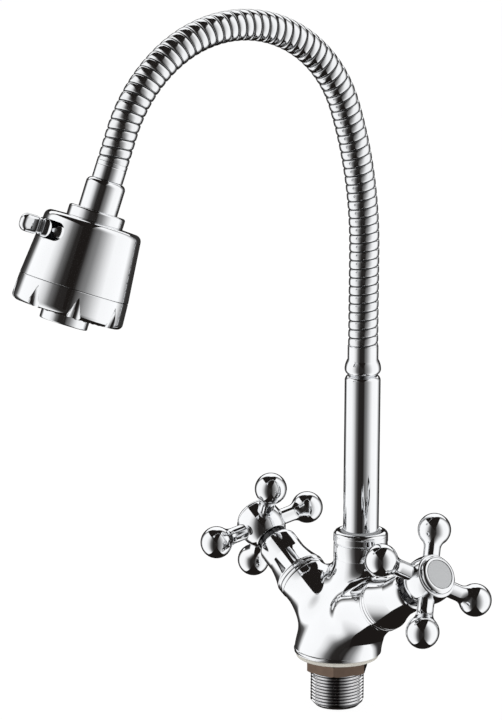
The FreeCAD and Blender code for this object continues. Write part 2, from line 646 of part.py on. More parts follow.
tube_base = foot_base + " + foot_height"
tube = turned("spout_tube", [
    ("tube_radius - tube_wall", "0"),
    ("tube_radius", "0"),
    ("tube_radius", "tube_top - tube_top_roll - (%s)" % tube_base),
    ("tube_top_radius", "tube_top - (%s)" % tube_base),
    ("tube_top_radius - tube_wall", "tube_top - (%s)" % tube_base),
    ("tube_top_radius - tube_wall", "tube_top - tube_wall - (%s)" % tube_base),
    ("tube_radius - tube_wall", "tube_top - tube_top_roll - tube_wall - (%s)" % tube_base),
])
keep(tube, "spout_tube", on_column(tube_base))

# Collar between the tube and the hose
plug_radius = "tube_top_radius - tube_wall - thread_gap"
collar = turned("hose_collar", [
    ("liner_radius + thread_gap", "0"),
    (plug_radius, "0"),
    (plug_radius, "collar_spigot"),
    ("collar_groove_radius", "collar_spigot"),
    ("collar_groove_radius", "collar_spigot + tube_wall * 0.6"),
    ("collar_bulge_radius", "collar_spigot + collar_bulge_height", "collar_bulge_curve * 0.7", "round"),
    ("collar_radius", "collar_spigot + collar_shoulder_height", "collar_bulge_curve * 1.6", "round"),
    ("collar_radius", "collar_spigot + collar_height"),
    ("liner_radius + thread_gap", "collar_spigot + collar_height"),
])
keep(collar, "hose_collar", on_column("tube_top - collar_spigot"))


# The ribbed hose and its liner, along straight runs and tangent arcs
def spot_on_route(distance):
    """The point and the turn of the hose's centre line at a distance from its start."""
    for kind, start, end, middle, angle, length in route:
        if distance <= length + 1e-9 or (kind, start) == (route[-1][0], route[-1][1]):
            if kind == "line":
                return start + (end - start) * (distance / length), angle
            circle = Part.ArcOfCircle(start, middle, end)
            share = distance / length
            reach = circle.FirstParameter + (circle.LastParameter - circle.FirstParameter) * share
            turn = angle + length / circle.Radius * share
            return circle.value(reach), turn
        distance -= length


def route_wire(extra):
    """The centre line as one wire, run on straight by a length past both ends."""
    edges = []
    for number, (kind, start, end, middle, angle, length) in enumerate(route):
        along = FreeCAD.Vector(0, -math.sin(angle), math.cos(angle))
        if number == 0:
            start = start - along * extra
        if number == len(route) - 1:
            end = end + along * extra
        if kind == "line":
            edges.append(Part.LineSegment(start, end).toShape())
        else:
            edges.append(Part.Arc(start, middle, end).toShape())
    return Part.Wire(edges)


def ring_wire(radius, distance):
    """A circle square to the centre line, its X axis always square to the hose's plane."""
    spot, turn = spot_on_route(distance)
    wire = Part.Wire([Part.Circle(FreeCAD.Vector(0, 0, 0), FreeCAD.Vector(0, 0, 1), radius).toShape()])
    wire.Placement = FreeCAD.Placement(spot, FreeCAD.Rotation(FreeCAD.Vector(1, 0, 0), math.degrees(turn)))
    return wire


def tube_on_route(radius, extra):
    start = route[0][1] - FreeCAD.Vector(0, 0, extra)
    ring = Part.Wire([Part.Circle(start, FreeCAD.Vector(0, 0, 1), radius).toShape()])
    return route_wire(extra).makePipeShell([ring], True, False)


route_length = sum(piece[5] for piece in route)
rib_count = round(route_length / size("hose_pitch"))
rib_pitch = route_length / rib_count
# Each rib: share of the pitch, and share of the way from the root to the crest
RIB = ((0.0, 0.0), (0.45, 0.68), (0.78, 1.0), (0.93, 0.8))
circles = []
for rib in range(rib_count):
    for share, crest in RIB:
        radius = size("hose_root_radius") + (size("hose_radius") - size("hose_root_radius")) * crest
        circles.append(ring_wire(radius, (rib + share) * rib_pitch))
circles.append(ring_wire(size("hose_root_radius"), route_length))
hose_shape = Part.makeLoft(circles, True, True).cut(tube_on_route(size("hose_bore_radius"), 1.0))
hose = doc.addObject("Part::Feature", "ribbed_hose")
hose.Shape = hose_shape
keep(hose, "ribbed_hose", spout_frame())

liner_shape = tube_on_route(size("liner_radius"), size("liner_grip")).cut(
    tube_on_route(size("liner_bore_radius"), size("liner_grip") + 1.0))
liner = doc.addObject("Part::Feature", "hose_liner")
liner.Shape = liner_shape
keep(liner, "hose_liner", spout_frame())
ends_gap = min(size(bend + "_radius") for bend in ("hose_first", "hose_top", "hose_last"))
print("hose length %.1f, ribs %d at %.3f, tightest bend %.1f" % (route_length, rib_count, rib_pitch, ends_gap))

# Hose tip, swivel nut and washer
flange_start = "tip_length + swivel_lip + turn_gap"
tip = turned("hose_tip", [
    ("tip_bore_radius", "liner_grip + fit_gap"),
    ("liner_radius + thread_gap", "liner_grip + fit_gap"),
    ("liner_radius + thread_gap", "0"),
    ("tip_radius", "0"),
    ("tip_radius", "tip_length - turn_gap"),
    ("tip_neck_radius", "tip_length - turn_gap"),
    ("tip_neck_radius", flange_start),
    ("tip_flange_radius", flange_start),
    ("tip_flange_radius", flange_start + " + tip_flange_height"),
    ("tip_bore_radius", flange_start + " + tip_flange_height"),
], [("tip_radius", "0", "thread_gap * 8"), ("tip_radius", "tip_length - turn_gap", "thread_gap * 8")])
keep(tip, "hose_tip", on_head())

swivel = turned("swivel_nut", [
    ("tip_neck_radius + turn_gap", "0"),
    ("swivel_radius - swivel_round", "0"),
    ("swivel_radius", "swivel_round", "swivel_round * 1.02", "round"),
    ("swivel_radius", "swivel_length"),
    ("swivel_bore_radius", "swivel_length"),
    ("swivel_bore_radius", "swivel_lip"),
    ("tip_neck_radius + turn_gap", "swivel_lip"),
])
keep(swivel, "swivel_nut", on_head("tip_length"))

washer_start = flange_start + " + tip_flange_height + turn_gap"
hose_washer = turned("hose_washer", [
    ("tip_bore_radius", "0"),
    ("swivel_bore_radius - fit_gap * 2", "0"),
    ("swivel_bore_radius - fit_gap * 2", "head_washer_height"),
    ("tip_bore_radius", "head_washer_height"),
])
keep(hose_washer, "hose_washer", on_head(washer_start))

# Inlet flange of the head
inlet_start = washer_start + " + head_washer_height"
flange_at = "tip_length + swivel_length - (%s)" % inlet_start
head_inlet = turned("head_inlet", [
    ("inlet_bore_radius", "0"),
    ("swivel_bore_radius - thread_gap", "0"),
    ("swivel_bore_radius - thread_gap", flange_at),
    ("flange_radius", flange_at),
    ("flange_radius", flange_at + " + flange_height"),
    ("inlet_plug_radius", flange_at + " + flange_height"),
    ("inlet_plug_radius", flange_at + " + flange_height + inlet_plug_length"),
    ("inlet_bore_radius", flange_at + " + flange_height + inlet_plug_length"),
], [("flange_radius", flange_at, "flange_round")])
keep(head_inlet, "head_inlet", on_head(inlet_start))

# Head shell with the selector slot
shell_top = "tip_length + swivel_length + flange_height"
inner_shoulder = "shell_top_radius - shell_wall"
shell = turned("shell_blank", [
    ("inlet_plug_radius + thread_gap", "shell_wall"),
    ("inlet_plug_radius + thread_gap", "0"),
    ("flange_radius + fit_gap", "0"),
    ("shell_top_radius - shell_shoulder_round", "shell_top_drop"),
    ("shell_top_radius", "shell_top_drop + shell_shoulder_round", "shell_shoulder_round * 1.03", "round"),
    ("shell_radius", "shell_length"),
    ("shell_radius - shell_wall", "shell_length"),
    (inner_shoulder, "shell_top_drop + shell_shoulder_round + shell_wall"),
    (inner_shoulder + " - shell_wall", "shell_top_drop + shell_wall * 1.6"),
])


def annular_block(name, inner, outer, low, high, first, last):
    """A block between two radii and two heights, from one angle to another, about Z."""
    body = doc.addObject("PartDesign::Body", name)
    sketch = new_sketch(body, name + "_outline", "XZ_Plane")
    draw_outline(sketch, [(inner, low), (outer, low), (outer, high), (inner, high)])
    turning = body.newObject("PartDesign::Revolution", name + "_turning")
    turning.Profile = sketch
    turning.ReferenceAxis = (sketch, ["V_Axis"])
    turning.setExpression("Angle", bind("(%s) - (%s)" % (last, first)))
    return body


def about_head(distance, angle):
    """A frame on the head's axis turned so that its X axis lies at an angle from the head's front."""
    spin = FreeCAD.Placement(FreeCAD.Vector(0, 0, 0), FreeCAD.Rotation(FreeCAD.Vector(0, 0, 1), 90.0 + angle))
    return on_head(distance).multiply(spin)


slot_low = "slot_centre - slot_height * 0.5"
slot_high = "slot_centre + slot_height * 0.5"
straight_angle = math.degrees(size("slot_height") * 0.5 / size("shell_top_radius"))
slot_end = size("slot_half_angle") - straight_angle
slot_block = annular_block(
    "slot_block", "shell_top_radius - shell_wall * 2", "shell_radius + shell_wall", slot_low, slot_high,
    "0", "(slot_half_angle - slot_height * 0.5 / shell_top_radius * 180 / pi) * 2",
)
slot_block.Placement = about_head(shell_top, -slot_end)
slot_tools = [slot_block]
for number, angle in enumerate((-slot_end, slot_end)):
    outward = about_head(shell_top + " + slot_centre", angle)
    level = FreeCAD.Placement(FreeCAD.Vector(0, 0, 0), FreeCAD.Rotation(FreeCAD.Vector(0, 1, 0), 90))
    away = FreeCAD.Placement(FreeCAD.Vector(size("shell_top_radius - shell_wall * 2"), 0, 0), FreeCAD.Rotation())
    slot_tools.append(cylinder(
        "slot_end_%d" % number, "slot_height * 0.5", "shell_wall * 4",
        outward.multiply(away).multiply(level),
    ))
slot_tool = fuse("slot_tool", slot_tools)
shell.Placement = on_head(shell_top)
keep(cut("head_shell", shell, slot_tool), "head_shell")

# Selector lever: a ring on the diverter core, a plate in the slot and a finger tab
lever_half_height = "(slot_height * 0.5 - lever_gap)"
shell_slope = "(shell_radius - shell_top_radius) / (shell_length - shell_shoulder_round)"
lever_surface = "shell_top_radius + (slot_centre - shell_shoulder_round) * %s + lever_proud" % shell_slope
lever_ring_radius = "(shell_top_radius - shell_wall - lever_ring_clear)"
lever_inner = lever_ring_radius + " - lever_ring_wall * 0.5"
cap_angle = math.degrees(size(lever_half_height) / size("shell_top_radius"))
plate_end = size("lever_span") * 0.5 - cap_angle
lever_rest = slot_end - plate_end
plate_low = "slot_centre - " + lever_half_height
plate_high = "slot_centre + " + lever_half_height
plate = annular_block(
    "lever_plate", lever_inner, lever_surface, plate_low, plate_high,
    "0", "lever_span - (slot_height * 0.5 - lever_gap) / shell_top_radius * 360 / pi",
)
plate.Placement = about_head(shell_top, lever_rest - plate_end)
lever_pieces = [plate]
level = FreeCAD.Placement(FreeCAD.Vector(0, 0, 0), FreeCAD.Rotation(FreeCAD.Vector(0, 1, 0), 90))
for number, angle in enumerate((lever_rest - plate_end, lever_rest + plate_end)):
    away = FreeCAD.Placement(FreeCAD.Vector(size(lever_inner), 0, 0), FreeCAD.Rotation())
    outward = about_head(shell_top + " + slot_centre", angle)
    lever_pieces.append(cylinder(
        "lever_end_%d" % number, lever_half_height, "(%s) - (%s)" % (lever_surface, lever_inner),
        outward.multiply(away).multiply(level),
    ))
ring_low = "slot_centre - lever_ring_height * 0.5"
lever_ring = turned("lever_ring", [
    (lever_ring_radius + " - lever_ring_wall", ring_low),
    (lever_ring_radius, ring_low),
    (lever_ring_radius, ring_low + " + lever_ring_height"),
    (lever_ring_radius + " - lever_ring_wall", ring_low + " + lever_ring_height"),
])
lever_ring.Placement = on_head(shell_top)
lever_pieces.append(lever_ring)
tab = doc.addObject("Part::Box", "lever_tab")
tab.setExpression("Length", bind("tab_reach + (shell_radius - (%s))" % lever_inner))
tab.setExpression("Width", bind("tab_width"))
tab.setExpression("Height", bind(lever_half_height + " * 2"))
tab_corner = FreeCAD.Placement(
    FreeCAD.Vector(size(lever_inner), size("-tab_width * 0.5"), size("-" + lever_half_height)),
    FreeCAD.Rotation(),
)
tab.Placement = about_head(shell_top + " + slot_centre", lever_rest + size("tab_shift")).multiply(tab_corner)
lever_pieces.append(tab)
lever_blank = fuse("lever_blank", lever_pieces)
lever_ports = []
for number in range(4):
    port = cylinder(
        "lever_port_%d" % number, "lever_port_radius", "lever_ring_wall * 3",
        about_head(shell_top + " + slot_centre", 72.0 + number * 72.0).multiply(
            FreeCAD.Placement(FreeCAD.Vector(size(lever_ring_radius + " - lever_ring_wall * 2"), 0, 0),
                              FreeCAD.Rotation())).multiply(level),
    )
    lever_ports.append(port)
keep(cut("selector_lever", lever_blank, fuse("lever_port_set", lever_ports)), "selector_lever")

# Diverter core, manifold, jet mat, spray plate, lower ring and aerator
core_top = "inlet_plug_length + fit_gap"
core_radius = lever_ring_radius + " - lever_ring_wall - turn_gap"
core_groove = core_radius + " - core_groove_depth"
core_flange = ring_low + " + lever_ring_height + fit_gap"
core_bottom = core_flange + " + core_flange_height"
core = turned("diverter_core", [
    ("inlet_bore_radius", "0"),
    (core_radius + " - shell_wall * 2", "0"),
    (core_radius, "%s - (%s)" % (ring_low, core_top)),
    (core_radius, "slot_centre - lever_port_radius - (%s)" % core_top),
    (core_groove, "slot_centre - lever_port_radius - (%s)" % core_top),
    (core_groove, "slot_centre + lever_port_radius - (%s)" % core_top),
    (core_radius, "slot_centre + lever_port_radius - (%s)" % core_top),
    (core_radius, "%s - (%s)" % (core_flange, core_top)),
    (lever_inner + " - lever_gap", "%s - (%s)" % (core_flange, core_top)),
    (lever_inner + " - lever_gap", "%s - (%s)" % (core_bottom, core_top)),
    ("inlet_bore_radius", "%s - (%s)" % (core_bottom, core_top)),
])
keep(core, "diverter_core", on_head("%s + %s" % (shell_top, core_top)))

rim = "%s + shell_length + ring_height" % shell_top
plate_face = "(%s) - plate_recess" % rim
manifold_top = "%s + %s" % (shell_top, core_bottom)
manifold_length = "(%s) - plate_thickness - mat_thickness - (%s)" % (plate_face, manifold_top)
nozzle_top = "(%s) + nozzle_proud - nozzle_length" % rim
seat_radius = "nozzle_radius + thread_gap"
ring_bore = "(shell_radius - lower_ring_wall)"
manifold_radius = "min(shell_top_radius - shell_wall - manifold_gap; %s - manifold_gap * 2)" % ring_bore
manifold = turned("manifold", [
    ("inlet_bore_radius", "0"),
    (manifold_radius, "0"),
    (manifold_radius, manifold_length),
    (manifold_radius + " - gallery_wall", manifold_length),
    (manifold_radius + " - gallery_wall", "%s - gallery_depth" % manifold_length),
    (seat_radius + " + gallery_wall", "%s - gallery_depth" % manifold_length),
    (seat_radius + " + gallery_wall", manifold_length),
    (seat_radius, manifold_length),
    (seat_radius, "%s - (%s)" % (nozzle_top, manifold_top)),
    ("inlet_bore_radius", "%s - (%s)" % (nozzle_top, manifold_top)),
])
keep(manifold, "manifold", on_head(manifold_top))

mat_base = "(%s) - plate_thickness - mat_thickness" % plate_face
mat_ring = turned("mat_ring", [
    (seat_radius + " + fit_gap", "0"),
    (ring_bore + " - thread_gap", "0"),
    (ring_bore + " - thread_gap", "mat_thickness"),
    (seat_radius + " + fit_gap", "mat_thickness"),
])
mat_ring.Placement = on_head(mat_base)
spray_ring = turned("spray_ring", [
    (seat_radius + " + fit_gap", "0"),
    (ring_bore + " - thread_gap", "0"),
    (ring_bore + " - thread_gap", "plate_thickness"),
    (seat_radius + " + fit_gap", "plate_thickness"),
])
spray_ring.Placement = on_head(mat_base + " + mat_thickness")
nubs = []
holes = []
outer_jets = manifold_radius + " - gallery_wall - jet_margin"
inner_jets = "(%s) * 0.25 + (%s + gallery_wall + jet_radius) * 0.75" % (outer_jets, seat_radius)
for circle, reach in enumerate((outer_jets, inner_jets)):
    count = round(size("jet_count") * (1.0 - 0.2 * circle))
    for number in range(count):
        turn = 360.0 / count * (number + 0.5 * circle)
        spot = on_head(mat_base).multiply(
            FreeCAD.Placement(FreeCAD.Vector(0, 0, 0), FreeCAD.Rotation(FreeCAD.Vector(0, 0, 1), turn))
        ).multiply(FreeCAD.Placement(FreeCAD.Vector(size(reach), 0, 0), FreeCAD.Rotation()))
        name = "%d_%d" % (circle, number)
        holes.append(cylinder("jet_hole_" + name, "jet_radius + thread_gap", "mat_thickness + plate_thickness * 2", spot))
        nubs.append(cylinder("jet_nub_" + name, "jet_radius", "mat_thickness + plate_thickness + jet_height", spot))
keep(cut("spray_plate", spray_ring, fuse("jet_holes", holes)), "spray_plate")
keep(fuse("jet_mat", [mat_ring] + nubs), "jet_mat")

lower_ring = turned("lower_ring_blank", [
    (ring_bore, "0"),
    ("shell_radius - shell_wall - fit_gap * 5", "0"),
    ("shell_radius - shell_wall - fit_gap * 5", "ring_spigot"),
    ("shell_radius", "ring_spigot"),
    ("shell_radius + lower_ring_flare", "ring_spigot + ring_height - lower_ring_round"),
    ("shell_radius + lower_ring_flare - lower_ring_round", "ring_spigot + ring_height", "lower_ring_round", "round"),
    (ring_bore, "ring_spigot + ring_height"),
])
lower_ring.Placement = on_head("%s + shell_length - ring_spigot" % shell_top)
notches = []
notch_lean = math.degrees(math.atan2(size("notch_half_width - notch_depth"), size("notch_height")))
for number in range(int(size("notch_count"))):
    turn = 360.0 / size("notch_count") * (number + 0.5)
    notch = doc.addObject("Part::Cone", "notch_%d" % number)
    notch.Radius1 = 0
    notch.setExpression("Radius2", bind("notch_half_width * 1.25"))
    notch.setExpression("Height", bind("notch_height * 1.25"))
    apex = FreeCAD.Placement(
        FreeCAD.Vector(size("shell_radius"), 0, 0), FreeCAD.Rotation(FreeCAD.Vector(0, 1, 0), notch_lean))
    notch.Placement = about_head("(%s) - notch_height" % rim, turn).multiply(apex)
    notches.append(notch)
keep(cut("lower_ring", lower_ring, fuse("notch_set", notches)), "lower_ring")

lip = "nozzle_radius - nozzle_wall * 1.8"
aerator = turned("aerator_housing", [
    ("nozzle_radius - nozzle_wall", "0"),
    ("nozzle_radius", "0"),
    ("nozzle_radius", "nozzle_length"),
    (lip, "nozzle_length"),
    (lip, "nozzle_length - screen_depth"),
    ("nozzle_radius - nozzle_wall", "nozzle_length - screen_depth"),
], [("nozzle_radius", "nozzle_length", "nozzle_round")])
keep(aerator, "aerator_housing", on_head(nozzle_top))
screen = turned("aerator_screen", [
    ("0", "0"),
    ("nozzle_radius - nozzle_wall - thread_gap", "0"),
    ("nozzle_radius - nozzle_wall - thread_gap", "screen_thickness"),
    ("0", "screen_thickness"),
])
keep(screen, "aerator_screen", on_head("(%s) + nozzle_length - screen_depth - screen_thickness" % nozzle_top))

# The two valves, bonnets and handles
bore_floor = "arm_end - valve_bore_depth"
disc_top = "valve_seal_height + valve_disc_height * 2 + spindle_gap"
neck_end = "valve_bore_depth + bonnet_length + ring_length"
hub_rear = "arm_end + bonnet_length + ring_length + hub_gap"
hub_front = hub_rear + " + hub_back + hub_fore"
web_front = "hub_back + hub_fore - hub_well_depth"
spindle_length = neck_end + " + hub_gap + spindle_head_length - (%s)" % disc_top
cavity = "valve_disc_radius + thread_gap"
for side, name in ((-1, "hot"), (1, "cold")):
    turn = size(name + "_handle_turn")

    seal = turned(name + "_seat_seal", [
        ("valve_disc_radius * 0.6", "0"),
        ("valve_disc_radius", "0"),
        ("valve_disc_radius", "valve_seal_height"),
        ("valve_disc_radius * 0.6", "valve_seal_height"),
    ])
    keep(seal, name + "_seat_seal", on_arm(side, bore_floor))

    for use, base in (("fixed", "valve_seal_height"), ("moving", "valve_seal_height + valve_disc_height + spindle_gap")):
        place = on_arm(side, "%s + %s" % (bore_floor, base), turn)
        disc = cylinder("%s_%s_blank" % (name, use), "valve_disc_radius", "valve_disc_height", place)
        aside = FreeCAD.Placement(FreeCAD.Vector(size("valve_port_offset"), 0, 0), FreeCAD.Rotation())
        port = cylinder("%s_%s_port" % (name, use), "valve_port_radius", "valve_disc_height", place.multiply(aside))
        label = "%s_%s_disc" % (name, use)
        keep(cut(label, disc, port), label)

    headwork = turned(name + "_headwork", [
        (cavity, "0"),
        ("valve_bore_radius - thread_gap", "0"),
        ("valve_bore_radius - thread_gap", "valve_bore_depth"),
        ("valve_flange_radius", "valve_bore_depth"),
        ("valve_flange_radius", "valve_bore_depth + valve_flange_height"),
        ("barrel_radius", "valve_bore_depth + valve_flange_height"),
        ("barrel_radius", "valve_bore_depth + bonnet_length"),
        ("valve_neck_radius", "valve_bore_depth + bonnet_length"),
        ("valve_neck_radius", neck_end),
        ("spindle_radius + spindle_gap", neck_end),
        ("spindle_radius + spindle_gap", disc_top + " + spindle_foot_height + spindle_gap"),
        (cavity, disc_top + " + spindle_foot_height + spindle_gap"),
    ])
    headwork.Placement = on_arm(side, bore_floor)
    windows = []
    for number in range(2):
        cross = on_arm(side, bore_floor + " + valve_bore_depth * 0.5", 90.0 * number)
        flat = FreeCAD.Placement(
            FreeCAD.Vector(size("-valve_bore_radius * 1.5"), 0, 0), FreeCAD.Rotation(FreeCAD.Vector(0, 1, 0), 90))
        windows.append(cylinder("%s_window_%d" % (name, number), "window_radius", "valve_bore_radius * 3", cross.multiply(flat)))
    keep(cut(name + "_valve", headwork, fuse(name + "_windows", windows)), name + "_valve")

    bonnet = turned(name + "_bonnet", [
        ("bonnet_cavity_radius", "0"),
        ("bonnet_base_radius", "0"),
        ("bonnet_base_radius", "bonnet_base_land"),
        ("bonnet_waist_radius", "bonnet_waist_distance", "bonnet_flare_radius", "hollow"),
        ("bonnet_waist_radius", "bonnet_length - bonnet_front_run"),
        ("bonnet_front_radius", "bonnet_length", "bonnet_front_curve", "round"),
        ("barrel_radius + barrel_gap", "bonnet_length"),
        ("barrel_radius + barrel_gap", "bonnet_cavity_depth"),
        ("bonnet_cavity_radius", "bonnet_cavity_depth"),
    ])
    keep(bonnet, name + "_bonnet", on_arm(side, "arm_end"))

    ring = turned(name + "_ring_blank", [
        ("valve_neck_radius + thread_gap", "0"),
        ("ring_radius", "0"),
        ("ring_radius", "ring_length"),
        ("valve_neck_radius + thread_gap", "ring_length"),
    ])
    ring.Placement = on_arm(side, "arm_end + bonnet_length")
    flutes = []
    for number in range(int(size("ring_groove_count"))):
        spot = on_arm(side, "arm_end + bonnet_length + ring_length * 0.15", 360.0 / size("ring_groove_count") * number)
        reach = FreeCAD.Placement(FreeCAD.Vector(size("ring_radius"), 0, 0), FreeCAD.Rotation())
        flutes.append(cylinder("%s_flute_%d" % (name, number), "ring_groove_radius", "ring_length * 0.7",
                               spot.multiply(reach)))
    keep(cut(name + "_gland_ring", ring, fuse(name + "_flutes", flutes)), name + "_gland_ring")

    spindle = turned(name + "_spindle", [
        ("0", "0"),
        ("valve_disc_radius", "0"),
        ("valve_disc_radius", "spindle_foot_height"),
        ("spindle_radius", "spindle_foot_height"),
        ("spindle_radius", spindle_length),
        ("screw_radius + thread_gap", spindle_length),
        ("screw_radius + thread_gap", spindle_length + " - screw_length"),
        ("0", spindle_length + " - screw_length"),
    ])
    keep(spindle, name + "_spindle", on_arm(side, "%s + %s" % (bore_floor, disc_top)))

    hub = turned(name + "_hub", [
        ("spindle_radius + thread_gap", "0"),
        ("hub_rear_radius", "0"),
        ("hub_radius", "hub_back", "hub_bulge_radius", "round"),
        ("hub_lip_radius", "hub_back + hub_fore", "hub_front_curve", "round"),
        ("hub_well_radius", "hub_back + hub_fore"),
        ("hub_well_radius", web_front),
        ("screw_radius + thread_gap", web_front),
        ("screw_radius + thread_gap", web_front + " - hub_web"),
        ("spindle_radius + thread_gap", web_front + " - hub_web"),
    ], [("hub_lip_radius", "hub_back + hub_fore", "hub_lip_round")])
    hub.Placement = on_arm(side, hub_rear)
    handle_pieces = [hub]
    for number in range(4):
        stem_start = "hub_well_radius * 0.5 + hub_radius * 0.5"
        stem = turned("%s_stem_%d" % (name, number), [
            ("0", stem_start),
            ("stem_radius", stem_start),
            ("stem_radius", "ball_reach - ball_radius * 1.25"),
            ("ball_radius * 0.74", "ball_reach - ball_radius * 0.6", "ball_shoulder_radius", "hollow"),
            ("0", "ball_reach - ball_radius * 0.6"),
        ])
        stem.Placement = on_arm(side, hub_rear + " + hub_back", turn + 90.0 * number).multiply(
            FreeCAD.Placement(FreeCAD.Vector(0, 0, 0), FreeCAD.Rotation(FreeCAD.Vector(0, 1, 0), 90)))
        ball = doc.addObject("Part::Sphere", "%s_ball_%d" % (name, number))
        ball.setExpression("Radius", bind("ball_radius"))
        ball.Placement = stem.Placement.multiply(
            FreeCAD.Placement(FreeCAD.Vector(0, 0, size("ball_reach")), FreeCAD.Rotation()))
        handle_pieces += [stem, ball]
    keep(fuse(name + "_handle", handle_pieces), name + "_handle")

    screw = turned(name + "_screw", [
        ("0", "0"),
        ("screw_radius", "0"),
        ("screw_radius", "screw_length"),
        ("screw_head_radius", "screw_length"),
        ("screw_head_radius", "screw_length + screw_head_height"),
        ("screw_radius * 0.7", "screw_length + screw_head_height"),
        ("screw_radius * 0.7", "screw_length + screw_head_height * 0.4"),
        ("0", "screw_length + screw_head_height * 0.4"),
    ], [("screw_head_radius", "screw_length + screw_head_height", "screw_head_height * 0.3")])
    keep(screw, name + "_screw", on_arm(side, "%s + %s - screw_length" % (hub_rear, web_front)))

    cap = turned(name + "_cap", [
        ("hub_well_radius - cap_skirt_wall", "0"),
        ("hub_well_radius - thread_gap", "0"),
        ("hub_well_radius - thread_gap", "cap_skirt_length"),
        ("cap_radius", "cap_skirt_length"),
        ("cap_radius", "cap_skirt_length + cap_rim"),
        ("cap_crown_radius", "cap_skirt_length + cap_height", "cap_crown_curve", "round"),
        ("index_radius + fit_gap", "cap_skirt_length + cap_height"),
        ("index_radius + fit_gap", "cap_skirt_length + cap_height - index_depth"),
        ("0", "cap_skirt_length + cap_height - index_depth"),
        ("0", "cap_skirt_length"),
        ("hub_well_radius - cap_skirt_wall", "cap_skirt_length"),
    ])
    keep(cap, name + "_cap", on_arm(side, hub_front + " - cap_skirt_length"))

    index = turned(name + "_index", [
        ("0", "0"),
        ("index_radius", "0"),
        ("index_radius", "index_depth - fit_gap"),
        ("0", "index_depth - fit_gap"),
    ])
    keep(index, name + "_index", on_arm(side, hub_front + " + cap_height - index_depth"))

# Check every sub-part and write it out
doc.recompute()
for thing in doc.Objects:
    if "Invalid" in thing.State or "Error" in thing.State:
        raise RuntimeError("%s did not build: %s" % (thing.Label, thing.State))
os.makedirs("parts", exist_ok=True)
for old in os.listdir("parts"):
    os.remove(os.path.join("parts", old))
for piece in nodes:
    if piece.Shape.isNull() or not piece.Shape.isValid() or not piece.Shape.Solids:
        raise RuntimeError("%s has no valid solid" % piece.Label)
    piece.Shape.exportStep(os.path.join("parts", piece.Label + ".step"))
    box = piece.Shape.BoundBox
    print("%-18s solids %2d volume %9.1f  x %7.1f %7.1f  y %7.1f %7.1f  z %7.1f %7.1f" % (
        piece.Label, len(piece.Shape.Solids), piece.Shape.Volume,
        box.XMin, box.XMax, box.YMin, box.YMax, box.ZMin, box.ZMax))
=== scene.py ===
"""Kitchen mixer tap: two cross handles, a ribbed stay-put hose and a two-way spray head."""

import math

import bmesh
import bpy
from mathutils import Matrix, Vector


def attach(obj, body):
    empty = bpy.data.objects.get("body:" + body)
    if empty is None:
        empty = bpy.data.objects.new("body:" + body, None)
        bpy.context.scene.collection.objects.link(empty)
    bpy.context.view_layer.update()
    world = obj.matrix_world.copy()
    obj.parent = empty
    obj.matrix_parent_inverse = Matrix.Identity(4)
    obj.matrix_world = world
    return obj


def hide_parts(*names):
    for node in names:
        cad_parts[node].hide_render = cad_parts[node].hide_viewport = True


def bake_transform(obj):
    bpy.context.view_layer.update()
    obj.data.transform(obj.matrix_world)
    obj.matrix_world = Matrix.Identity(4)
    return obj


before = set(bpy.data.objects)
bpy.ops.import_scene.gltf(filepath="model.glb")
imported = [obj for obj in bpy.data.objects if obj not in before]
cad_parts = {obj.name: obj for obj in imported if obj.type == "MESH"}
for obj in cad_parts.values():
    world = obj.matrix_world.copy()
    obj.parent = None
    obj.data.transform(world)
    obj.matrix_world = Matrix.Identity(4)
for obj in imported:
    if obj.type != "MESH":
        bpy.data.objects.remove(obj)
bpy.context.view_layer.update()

bl_info = {
    "name": "Kitchen mixer tap",
    "version": (1, 0, 0),
    "blender": (4, 5, 0),
    "location": "View3D > Sidebar > Tap",
    "description": "Dresses a chrome kitchen mixer tap in finished pieces",
    "category": "Object",
}

MM = 0.001
HOT, COLD = "hot", "cold"
SIDES = {HOT: -1, COLD: 1}
WHITE = (1.0, 1.0, 1.0)

# The camera that took the photograph: its distance and target in metres, its focal length in pixels
CAMERA_AZIMUTH = math.radians(49.12)
CAMERA_RISE = math.radians(13.07)
CAMERA_ROLL = math.radians(-0.617)
CAMERA_DISTANCE = 2.054
CAMERA_PIXELS = 3384.6
CAMERA_TARGET = Vector((0.0, 0.0, 0.1825))
TARGET_PIXEL = (340.5, 367.5)
PHOTO = (502, 720)
SENSOR = 36.0

# What the metal reflects: a bearing from the camera's side, positive to the right, and the brightness there
STUDIO_BANDS = (
    (-180, 0.02), (-142, 0.02), (-131, 0.1), (-118, 1.0), (-72, 0.95), (-60, 0.77), (-52, 0.6), (-45, 0.36),
    (-38, 0.15), (-30, 0.07), (-22, 0.01), (8, 0.005), (14, 0.08), (21, 0.16), (28, 0.21), (34, 0.32), (41, 0.45),
    (48, 0.61), (56, 0.77), (66, 0.94), (108, 1.0), (120, 0.6), (134, 0.07), (142, 0.02), (180, 0.02),
)
# Each soft box: its bearing, and the slopes up to its top edge and down to its bottom edge
STUDIO_BOXES = ((-80, 1.17, 2.0), (85, 2.0, 2.0))
# The sheet behind the tap: how far back it starts, how much it narrows sideways, and its lower edge
SHEET_BACK, SHEET_SIDE, SHEET_EDGE = 0.36, 0.45, 0.33
DARK_ROOM = (0.012, 0.01, 0.009)
ROOM_LIGHT = (0.62, 0.62, 0.62)
MIRROR_GAIN = 0.15
FLOOR_GLOW, FLOOR_GLOW_SHARE = 1.05, 0.9
FLOOR_SIZE, FLOOR_GAP = 6.0, 0.5
# Each lamp: its name, place in metres, power in watts and width in metres
LAMPS = (
    ("key", (-1.6, -1.6, 1.9), 16.0, 1.2),
    ("fill", (2.2, -0.2, 1.3), 11.0, 1.4),
    ("back", (-0.4, 2.0, 1.7), 9.0, 1.2),
)

